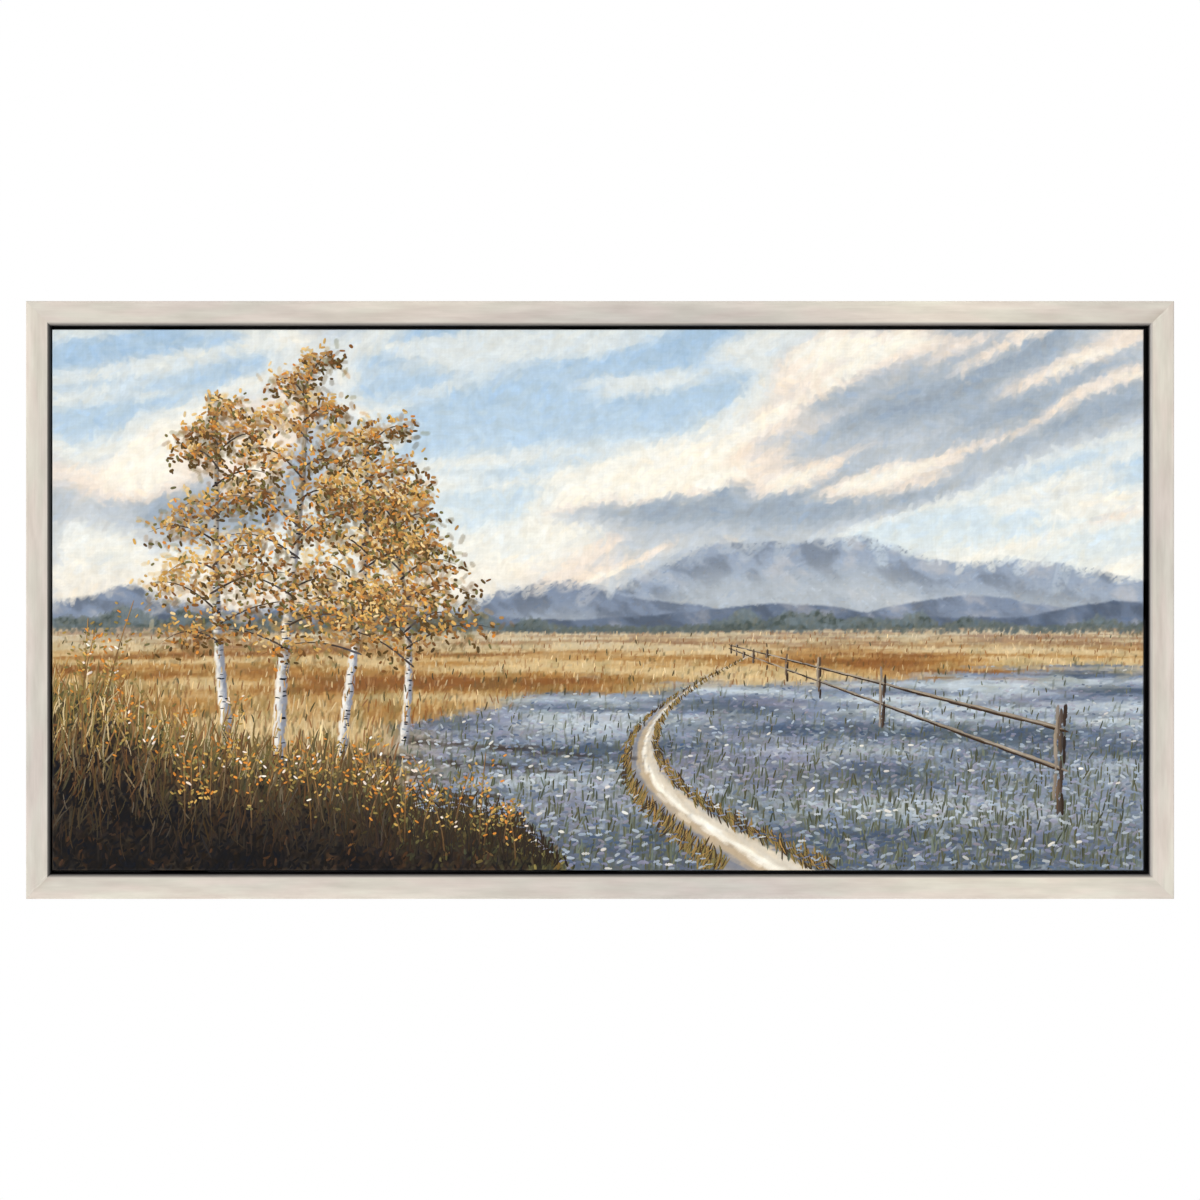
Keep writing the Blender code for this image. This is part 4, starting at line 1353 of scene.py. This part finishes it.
def film_pieces(film, material):
    """The brushed paint as a skin on the cloth, in tiles that meet without a seam."""
    x, z = film.x.copy(), film.z.copy()
    x[0], z[0] = FILM_INSET, FILM_INSET
    x[-1], z[-1] = PICTURE_WIDTH - FILM_INSET, PICTURE_HEIGHT - FILM_INSET
    grid_x, grid_z = np.meshgrid(x, z)
    from_edge = np.minimum(
        np.minimum(grid_x, PICTURE_WIDTH - grid_x), np.minimum(grid_z, PICTURE_HEIGHT - grid_z)
    )
    height = FILM_BASE + film.thickness - fold_depth(from_edge)
    slope_z, slope_x = np.gradient(height, film.z[1], film.x[1])
    normals = np.stack([-slope_x, -np.ones_like(height), -slope_z], axis=-1)
    normals /= np.linalg.norm(normals, axis=-1, keepdims=True)
    # Over the fold the paint is thin and a little of the white primer shows; this paler line is also a painted
    # highlight along the cloth's edge
    colour = mixed(film.colour, srgb(FOLD_PRIMER_AND_HIGHLIGHT), FOLD_PRIMER_AND_HIGHLIGHT_SHARE * (from_edge < FOLD_REACH))
    points = np.stack([grid_x + CANVAS_LOW.x, PICTURE_FRONT - height, grid_z + CANVAS_LOW.z], axis=-1)

    pieces = []
    columns = np.linspace(0, len(x) - 1, FILM_TILES[0] + 1).round().astype(int)
    rows = np.linspace(0, len(z) - 1, FILM_TILES[1] + 1).round().astype(int)
    for row, (foot, top) in enumerate(zip(rows, rows[1:]), start=1):
        for column, (left, right) in enumerate(zip(columns, columns[1:]), start=1):
            part = (slice(foot, top + 1), slice(left, right + 1))
            across, up = right - left + 1, top - foot + 1
            corner = (np.arange(up - 1)[:, None] * across + np.arange(across - 1)[None]).ravel()
            faces = np.stack([corner, corner + 1, corner + across + 1, corner + across], axis=1)
            name = f"paint_film_{row}_{column}"
            tile = mesh_from_arrays(name, points[part].reshape(-1, 3), faces, material)
            coloured(tile.data, colour[part].reshape(-1, 3))
            u, v = np.meshgrid(np.linspace(0.01, 0.99, across), np.linspace(0.01, 0.99, up))
            corner_uvs(tile.data, "OFBake", np.stack([u.ravel(), v.ravel()], axis=1))
            tile.data.normals_split_custom_set_from_vertices(normals[part].reshape(-1, 3).tolist())
            pieces.append(tile)
    return pieces


def raised_piece(name, rows, material):
    """Thin domed marks, closed underneath, as one joined mesh."""
    count = len(rows)
    s, t, angle, length, width, lift, bend, _ = rows[:, :8].T
    ahead = np.stack([np.cos(angle), np.sin(angle)], axis=1)
    aside = np.stack([-np.sin(angle), np.cos(angle)], axis=1)
    middle = np.stack([s, t], axis=1) * PICTURE_HEIGHT
    dome = width * MARK_SLOPE

    spots, heights, patch = [], [], []
    for share, fullness in [(-0.5, 0.0), *MARK_STATIONS, (0.5, 0.0)]:
        along = (share * length)[:, None] * ahead + (bend * length * (0.25 - share * share))[:, None] * aside
        for side in (0.0,) if fullness == 0.0 else (1.0, 0.0, -1.0):
            spots.append(middle + along + (side * fullness * width / 2)[:, None] * aside)
            heights.append(FILM_BASE + lift + (dome if side == 0.0 and fullness > 0 else 0.0))
            patch.append((0.5 + share, 0.5 + 0.5 * side))
    per_mark = len(spots)
    spots, heights = np.stack(spots, axis=1), np.stack(heights, axis=1)
    x = np.clip(spots[..., 0], FOLD_RADIUS, PICTURE_WIDTH - FOLD_RADIUS) + CANVAS_LOW.x
    z = np.clip(spots[..., 1], FOLD_RADIUS, PICTURE_HEIGHT - FOLD_RADIUS) + CANVAS_LOW.z
    points = np.stack([x, PICTURE_FRONT - heights, z], axis=-1).reshape(-1, 3)

    last = per_mark - 1
    shape = [(0, 1, 2), (0, 2, 3), (0, 3, 1)]
    for a in range(1, last - 3, 3):
        b = a + 3
        shape += [(a, b, b + 1), (a, b + 1, a + 1), (a + 1, b + 1, b + 2), (a + 1, b + 2, a + 2)]
        shape += [(a + 2, b + 2, b), (a + 2, b, a)]
    a = last - 3
    shape += [(a, last, a + 1), (a + 1, last, a + 2), (a + 2, last, a)]
    faces = (np.array(shape)[None] + (np.arange(count) * per_mark)[:, None, None]).reshape(-1, 3)
    piece = mesh_from_arrays(name, points, faces, material)
    piece.data.set_sharp_from_angle(angle=math.radians(60))

    # Each mark is painted lighter along one side and darker along the other, as painted light and shade on its
    # ridge, and paler towards its end, where the paint thins
    ridge_light_and_shade = np.array([1.0] + [1.04, 1.0, 0.96] * len(MARK_STATIONS) + [1.0])
    end_tone = np.repeat([0.985, 1.0, 1.0, 1.015, 1.02], [1, 3, 3, 3, 1])
    ink = rows[:, 8:][:, None, :] * (ridge_light_and_shade * end_tone)[None, :, None]
    coloured(piece.data, ink.reshape(-1, 3))

    # Each mark has a square of its own on the map, so that no colour runs into its neighbour's
    columns = math.ceil(math.sqrt(count))
    corner = np.stack([np.arange(count) % columns, np.arange(count) // columns], axis=1)
    inside = 0.12 + 0.76 * np.array(patch)
    corner_uvs(piece.data, "OFBake", ((corner[:, None, :] + inside[None]) / columns).reshape(-1, 2))
    return piece


def paint_picture(material):
    """Brushes the soft paint from the far sky to the near leaves, and lays the crisp marks on top of it."""
    film = Film()
    pieces = []
    for name, seed, layers in PARTS:
        marks = Marks(seed)
        for layer in layers:
            layer(marks)
        film.brush(np.concatenate(marks.soft))
        if marks.raised:
            rows = np.concatenate(marks.raised)
            parts = math.ceil(len(rows) / MARKS_PER_PIECE)
            for number, part in enumerate(np.array_split(rows, parts), start=1):
                pieces.append(raised_piece(f"raised_paint_{name}_{number}", part, material))
    pieces += film_pieces(film, material)
    for piece in pieces:
        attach(piece, "root")
    return pieces


# ---------------------------------------------------------------- canvas

CLOTH_THICKNESS = 0.0007
CLOTH_CELL = 0.0060
TURNED_CLOTH = "#E4DDCF"
# The cloth's corners, each as the way to it from the cloth's middle in x and z
CORNERS = ((-1, -1), (-1, 1), (1, -1), (1, 1))


def make_canvas(front, back):
    """The cloth as one sheet: its face, its sides round the stretcher and the part turned over behind."""
    columns = round(PICTURE_WIDTH / CLOTH_CELL)
    rows = round(PICTURE_HEIGHT / CLOTH_CELL)
    centre_x, centre_z = CANVAS_CENTRE
    half_x, half_z = PICTURE_WIDTH / 2, PICTURE_HEIGHT / 2
    far_y = CANVAS_HIGH.y
    across, up = np.linspace(-1, 1, columns + 1), np.linspace(-1, 1, rows + 1)
    grid_x, grid_z = np.meshgrid(across, up)

    # Rings from the edge of the face: (shrink of the half sizes, depth)
    rings = [
        (FOLD_RADIUS * (1 - math.sin(a)), PICTURE_FRONT + FOLD_RADIUS * (1 - math.cos(a)))
        for a in np.radians((30, 60, 90))
    ]
    rings += [(0.0, PICTURE_FRONT + (far_y - PICTURE_FRONT) * share) for share in (0.3, 0.6)]
    rings += [
        (FOLD_RADIUS * (1 - math.cos(a)), far_y - FOLD_RADIUS * (1 - math.sin(a)))
        for a in np.radians((0, 30, 60, 90))
    ]
    rings += [(FOLD_RADIUS + (TURN_OVER - FOLD_RADIUS) * share, far_y) for share in (0.33, 0.66, 1.0)]

    points = [
        (centre_x + x * (half_x - FOLD_RADIUS), PICTURE_FRONT, centre_z + z * (half_z - FOLD_RADIUS))
        for x, z in zip(grid_x.ravel(), grid_z.ravel())
    ]
    width = columns + 1
    faces = [
        [r * width + c, r * width + c + 1, (r + 1) * width + c + 1, (r + 1) * width + c]
        for r in range(rows) for c in range(columns)
    ]
    edge = list(range(columns))
    edge += [r * width + columns for r in range(rows)]
    edge += [rows * width + c for c in range(columns, 0, -1)]
    edge += [r * width for r in range(rows, 0, -1)]
    shares = [(grid_x.ravel()[i], grid_z.ravel()[i]) for i in edge]
    previous = edge
    for shrink, depth in rings:
        start = len(points)
        points += [
            (centre_x + x * (half_x - shrink), depth, centre_z + z * (half_z - shrink)) for x, z in shares
        ]
        ring = list(range(start, start + len(edge)))
        for i in range(len(edge)):
            j = (i + 1) % len(edge)
            faces.append([previous[i], ring[i], ring[j], previous[j]])
        previous = ring

    canvas = mesh_object("stretched_canvas", points, faces, [front, back])
    fix_outward(canvas)
    cloth = canvas.modifiers.new("cloth", "SOLIDIFY")
    cloth.thickness = CLOTH_THICKNESS
    cloth.offset = -1.0
    cloth.material_offset = 1
    cloth.material_offset_rim = 1
    applied(canvas)
    colour_cloth(canvas)
    smooth(canvas, 35.0)
    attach(canvas, "root")
    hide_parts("canvas")
    return canvas


def colour_cloth(canvas):
    """Thin underpaint of the picture's own colours, which goes on round the sides."""
    mesh = canvas.data
    points = np.empty(len(mesh.vertices) * 3, np.float32)
    mesh.vertices.foreach_get("co", points)
    points = points.reshape(-1, 3)
    s = np.clip((points[:, 0] - CANVAS_LOW.x) / PICTURE_HEIGHT, 0.0, ASPECT)
    t = np.clip((points[:, 2] - CANVAS_LOW.z) / PICTURE_HEIGHT, 0.0, 1.0)
    colour, _ = design(s.astype(float), t.astype(float))
    turned = points[:, 1] > CANVAS_HIGH.y - 2 * FOLD_RADIUS
    colour = np.where(turned[:, None], srgb(TURNED_CLOTH), colour)
    coloured(mesh, colour)


FLAP_FROM = 0.0166
FLAP_REACH = 0.017
FLAP_HEIGHT = 0.0010
# How far a folded corner stops short of the cut edge, how much its fold wavers, and how far it lies off
# the cloth
FLAP_SHORT = 0.0003
FLAP_WAVER = 0.00022
FLAP_OFF_CLOTH = 0.00004
# Stations across a folded corner, as (share of its reach, share of its height)
FLAP_STATIONS = (
    (0.0, 0.0), (0.012, 0.6), (0.04, 0.95), (0.09, 1.0), (0.3, 0.80), (0.6, 0.45), (0.85, 0.15), (1.0, 0.0),
)


def make_folded_corners(material):
    """The spare cloth at each corner, folded under along the mitre and pressed flat."""
    points, faces = [], []
    depths = np.linspace(FLAP_FROM, TURN_OVER - FLAP_SHORT, 7)
    wave = np.random.default_rng(311).normal(0.0, FLAP_WAVER, (4, len(depths)))
    for number, (side_x, side_z) in enumerate(CORNERS):
        corner_x = CANVAS_LOW.x if side_x < 0 else CANVAS_HIGH.x
        corner_z = CANVAS_LOW.z if side_z < 0 else CANVAS_HIGH.z
        start = len(points)
        for depth, sway in zip(depths, wave[number]):
            for share, height in FLAP_STATIONS:
                inwards = depth + sway * (1 - share) + FLAP_REACH * share
                y = CANVAS_HIGH.y + FLAP_OFF_CLOTH + FLAP_HEIGHT * height
                points.append((corner_x - side_x * inwards, y, corner_z - side_z * depth))
        wide = len(FLAP_STATIONS)
        for row in range(len(depths) - 1):
            for step in range(wide - 1):
                a = start + row * wide + step
                faces.append([a, a + 1, a + wide + 1, a + wide])
            a = start + row * wide
            faces.append([a, a + wide, a + 2 * wide - 1, a + wide - 1])
        last = start + (len(depths) - 1) * wide
        faces.append([start + i for i in range(wide)])
        faces.append([last + i for i in reversed(range(wide))])
    flaps = mesh_object("folded_corners", points, faces, [material])
    fix_outward(flaps)
    coloured(flaps.data, np.tile(srgb(TURNED_CLOTH), (len(flaps.data.vertices), 1)))
    smooth(flaps, 50.0)
    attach(flaps, "root")
    return flaps


# ---------------------------------------------------------------- staples

STAPLE_WIDTH = 0.0100
STAPLE_WIRE = 0.0011
STAPLE_THICKNESS = 0.0006
STAPLE_LEG = 0.0040
STAPLE_SPACING = 0.048
STAPLE_FROM_EDGE = 0.0065
STAPLE_IN_FLAP = (0.0330, 0.0255)
STAPLE_OFF_CLOTH = 0.00008


def staple_shape():
    """A flat wire bent to a crown and two legs, as a bmesh with the crown along X and the legs along -Y."""
    half, radius = STAPLE_WIDTH / 2, 2 * STAPLE_THICKNESS
    line = [(-half, -STAPLE_LEG), (-half, -radius)]
    line += [
        (-half + radius - radius * math.cos(a), -radius + radius * math.sin(a))
        for a in np.radians((30, 60, 90))
    ]
    line += [(-x, y) for x, y in reversed(line)]
    wire, eased = STAPLE_WIRE / 2, STAPLE_WIRE / 2 * 0.7
    outline = [(1, eased), (0.6, wire), (-1, wire), (-1, -wire), (0.6, -wire), (1, -eased)]
    bm = bmesh.new()
    rings = []
    for i, (x, y) in enumerate(line):
        before, after = line[max(i - 1, 0)], line[min(i + 1, len(line) - 1)]
        run = Vector((after[0] - before[0], after[1] - before[1])).normalized()
        out = Vector((-run.y, run.x)) * (STAPLE_THICKNESS / 2)
        rings.append([
            bm.verts.new((x + out.x * k, y + out.y * k - STAPLE_THICKNESS / 2, w)) for k, w in outline
        ])
    for first, second in zip(rings, rings[1:]):
        for i in range(len(first)):
            j = (i + 1) % len(first)
            bm.faces.new((first[i], second[i], second[j], first[j]))
    bm.faces.new(rings[0])
    bm.faces.new(list(reversed(rings[-1])))
    bmesh.ops.recalc_face_normals(bm, faces=bm.faces)
    return bm


def make_staples(material):
    """A row of staples near the cut edge of the turned-over cloth, each a little askew."""
    random = np.random.default_rng(301)
    single = from_bmesh(staple_shape(), "staple")
    joined = bmesh.new()
    inner_x = PICTURE_WIDTH / 2 - TURN_OVER + STAPLE_FROM_EDGE
    inner_z = PICTURE_HEIGHT / 2 - TURN_OVER + STAPLE_FROM_EDGE
    centre_x, centre_z = CANVAS_CENTRE
    places = []
    for inward, along in SIDES.values():
        run = 2 * (inner_x if along[0] else inner_z)
        count = round(run / STAPLE_SPACING)
        for step in range(count):
            where = (step + 0.5) / count * run - run / 2 + random.normal(0, 0.002)
            x = centre_x - inward[0] * inner_x + along[0] * where + random.normal(0, 0.0005)
            z = centre_z - inward[1] * inner_z + along[1] * where + random.normal(0, 0.0005)
            turn = (0.0 if along[0] else math.pi / 2) + random.normal(0, 0.10)
            places.append((x, 0.0, z, turn))
    # One more holds down each folded corner
    for side_x, side_z in CORNERS:
        x = centre_x + side_x * (PICTURE_WIDTH / 2 - STAPLE_IN_FLAP[0])
        z = centre_z + side_z * (PICTURE_HEIGHT / 2 - STAPLE_IN_FLAP[1])
        places.append((x, FLAP_HEIGHT, z, side_x * side_z * math.radians(40) + random.normal(0, 0.08)))
    for x, rise, z, turn in places:
        copy = single.copy()
        y = CANVAS_HIGH.y + rise + STAPLE_THICKNESS + STAPLE_OFF_CLOTH
        copy.transform(Matrix.Translation((x, y, z)) @ Matrix.Rotation(turn, 4, "Y"))
        joined.from_mesh(copy)
        bpy.data.meshes.remove(copy)
    staples = placed("staples", from_bmesh(joined, "staples"))
    staples.data.materials.append(material)
    smooth(staples, 35.0)
    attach(staples, "root")
    return staples


# ---------------------------------------------------------------- finishes on the CAD's own pieces

def dress(prefix, material):
    for name, node in frame["nodes"].items():
        if name.startswith(prefix):
            node.data.materials.clear()
            node.data.materials.append(material)
            smooth(node, 35.0)


# ---------------------------------------------------------------- studio

# The share of the view's width that the frame takes
VIEW_SHARE = 0.9568
LENS = 135.0
SENSOR = 36.0
FLOOR_DROP = 2.2
FLOOR_RADIUS = 13.0
# The world is white to the camera, and this much of that as light on the surfaces
WORLD_LIGHT = 0.15
# Each light's way from the picture, its width in degrees and its strength
LIGHTS = (
    ("key", (-0.95, -0.75, 0.14), 35, 3.05),
    ("front", (0.10, -1.0, 0.22), 40, 0.29),
    ("back", (0.5, 1.0, 0.8), 40, 2.6),
    ("top", (0.0, 0.0, 1.0), 60, 0.86),
)
LIGHT_AWAY = 3.0


def make_camera():
    """Square on, far off and level with the picture's middle."""
    data = bpy.data.cameras.new("camera")
    data.lens = LENS
    data.sensor_width = SENSOR
    camera = placed("camera", data)
    distance = FRAME_WIDTH / VIEW_SHARE * LENS / SENSOR
    camera.location = (FRAME_MIDDLE.x, FRAME_LOW.y - distance, FRAME_MIDDLE.z)
    camera.rotation_euler = (math.pi / 2, 0.0, 0.0)
    bpy.context.scene.camera = camera


def add_light(name, towards, spread, strength):
    """A large soft light, far off in this direction from the picture. spread is its width in degrees."""
    data = bpy.data.lights.new(name, "SUN")
    data.energy = strength
    data.angle = math.radians(spread)
    light = placed(name, data)
    light.location = FRAME_MIDDLE + LIGHT_AWAY * Vector(towards).normalized()
    light.rotation_euler = (-Vector(towards)).to_track_quat("-Z", "Y").to_euler()


def make_studio():
    scene = bpy.context.scene
    scene.view_settings.view_transform = "Standard"
    world = bpy.data.worlds.new("studio")
    scene.world = world
    world.use_nodes = True
    tree = world.node_tree
    tree.nodes.clear()
    seen = add(tree, "Background", {"Color": rgba("#FFFFFF"), "Strength": 1.0})
    soft = add(tree, "Background", {"Color": rgba("#FFFFFF"), "Strength": WORLD_LIGHT})
    path = add(tree, "LightPath")
    both = add(
        tree, "MixShader", {"Fac": path.outputs["Is Camera Ray"], 1: soft.outputs[0], 2: seen.outputs[0]},
    )
    add(tree, "OutputWorld", {"Surface": both.outputs[0]})

    for name, towards, spread, strength in LIGHTS:
        add_light(name, towards, spread, strength)

    bm = bmesh.new()
    bmesh.ops.create_circle(bm, cap_ends=True, segments=96, radius=FLOOR_RADIUS)
    floor = placed("floor", from_bmesh(bm, "floor"))
    floor.location = (0.0, 0.0, CAD_BOX[0].z - FLOOR_DROP)
    material, tree, shader = new_material("pale_floor", roughness=0.8)
    place = add(tree, "TexCoord").outputs["Object"]
    mottle = add(tree, "TexNoise", {"Vector": place, "Scale": per_metre(400)[0], "Detail": 2.0})
    colour = add(tree, "ValToRGB", {"Fac": mottle.outputs["Fac"]}, ramp=[(0.3, "#F8F8F7"), (0.7, "#FCFBFA")])
    finish(tree, shader, colour.outputs[0])
    floor.data.materials.append(material)


def main():
    finishes = {
        "limewash": limewashed_poplar(),
        "black": black_channel_paint(),
        "bare": bare_wood("bare_poplar", 0, "#CDB993", "#B39C72", "#7A5B38", 9.0, "board"),
    }
    make_camera()
    make_studio()
    make_frame(finishes)
    underpaint = painted("underpainted_canvas", 0.62, 0.74)
    canvas = make_canvas(underpaint, raw_cloth())
    zinc = zinc_plate("zinc_plated_steel", "#9C9D9B", "#C9CAC6", 0.26, 0.42)
    on_it = paint_picture(painted("acrylic_paint", 0.50, 0.68))
    on_it += [make_folded_corners(underpaint), make_staples(zinc)]
    lengthwise = bare_wood("pine_lengthwise", 0, "#DDB983", "#B98850", "#7A4B26", 8.0, "object")
    for prefix in ("stretcher_bar_top", "stretcher_bar_bottom"):
        dress(prefix, lengthwise)
    upright = bare_wood("pine_upright", 2, "#D9B57F", "#B5854E", "#7A4B26", 8.0, "object")
    for prefix in ("stretcher_bar_left", "stretcher_bar_right", "stretcher_brace"):
        dress(prefix, upright)
    for prefix in ("fixing_screw", "sawtooth_hanger", "hanger_nail", "v_nail"):
        dress(prefix, zinc)
    dress("wall_bumper", cloudy_rubber())


main()
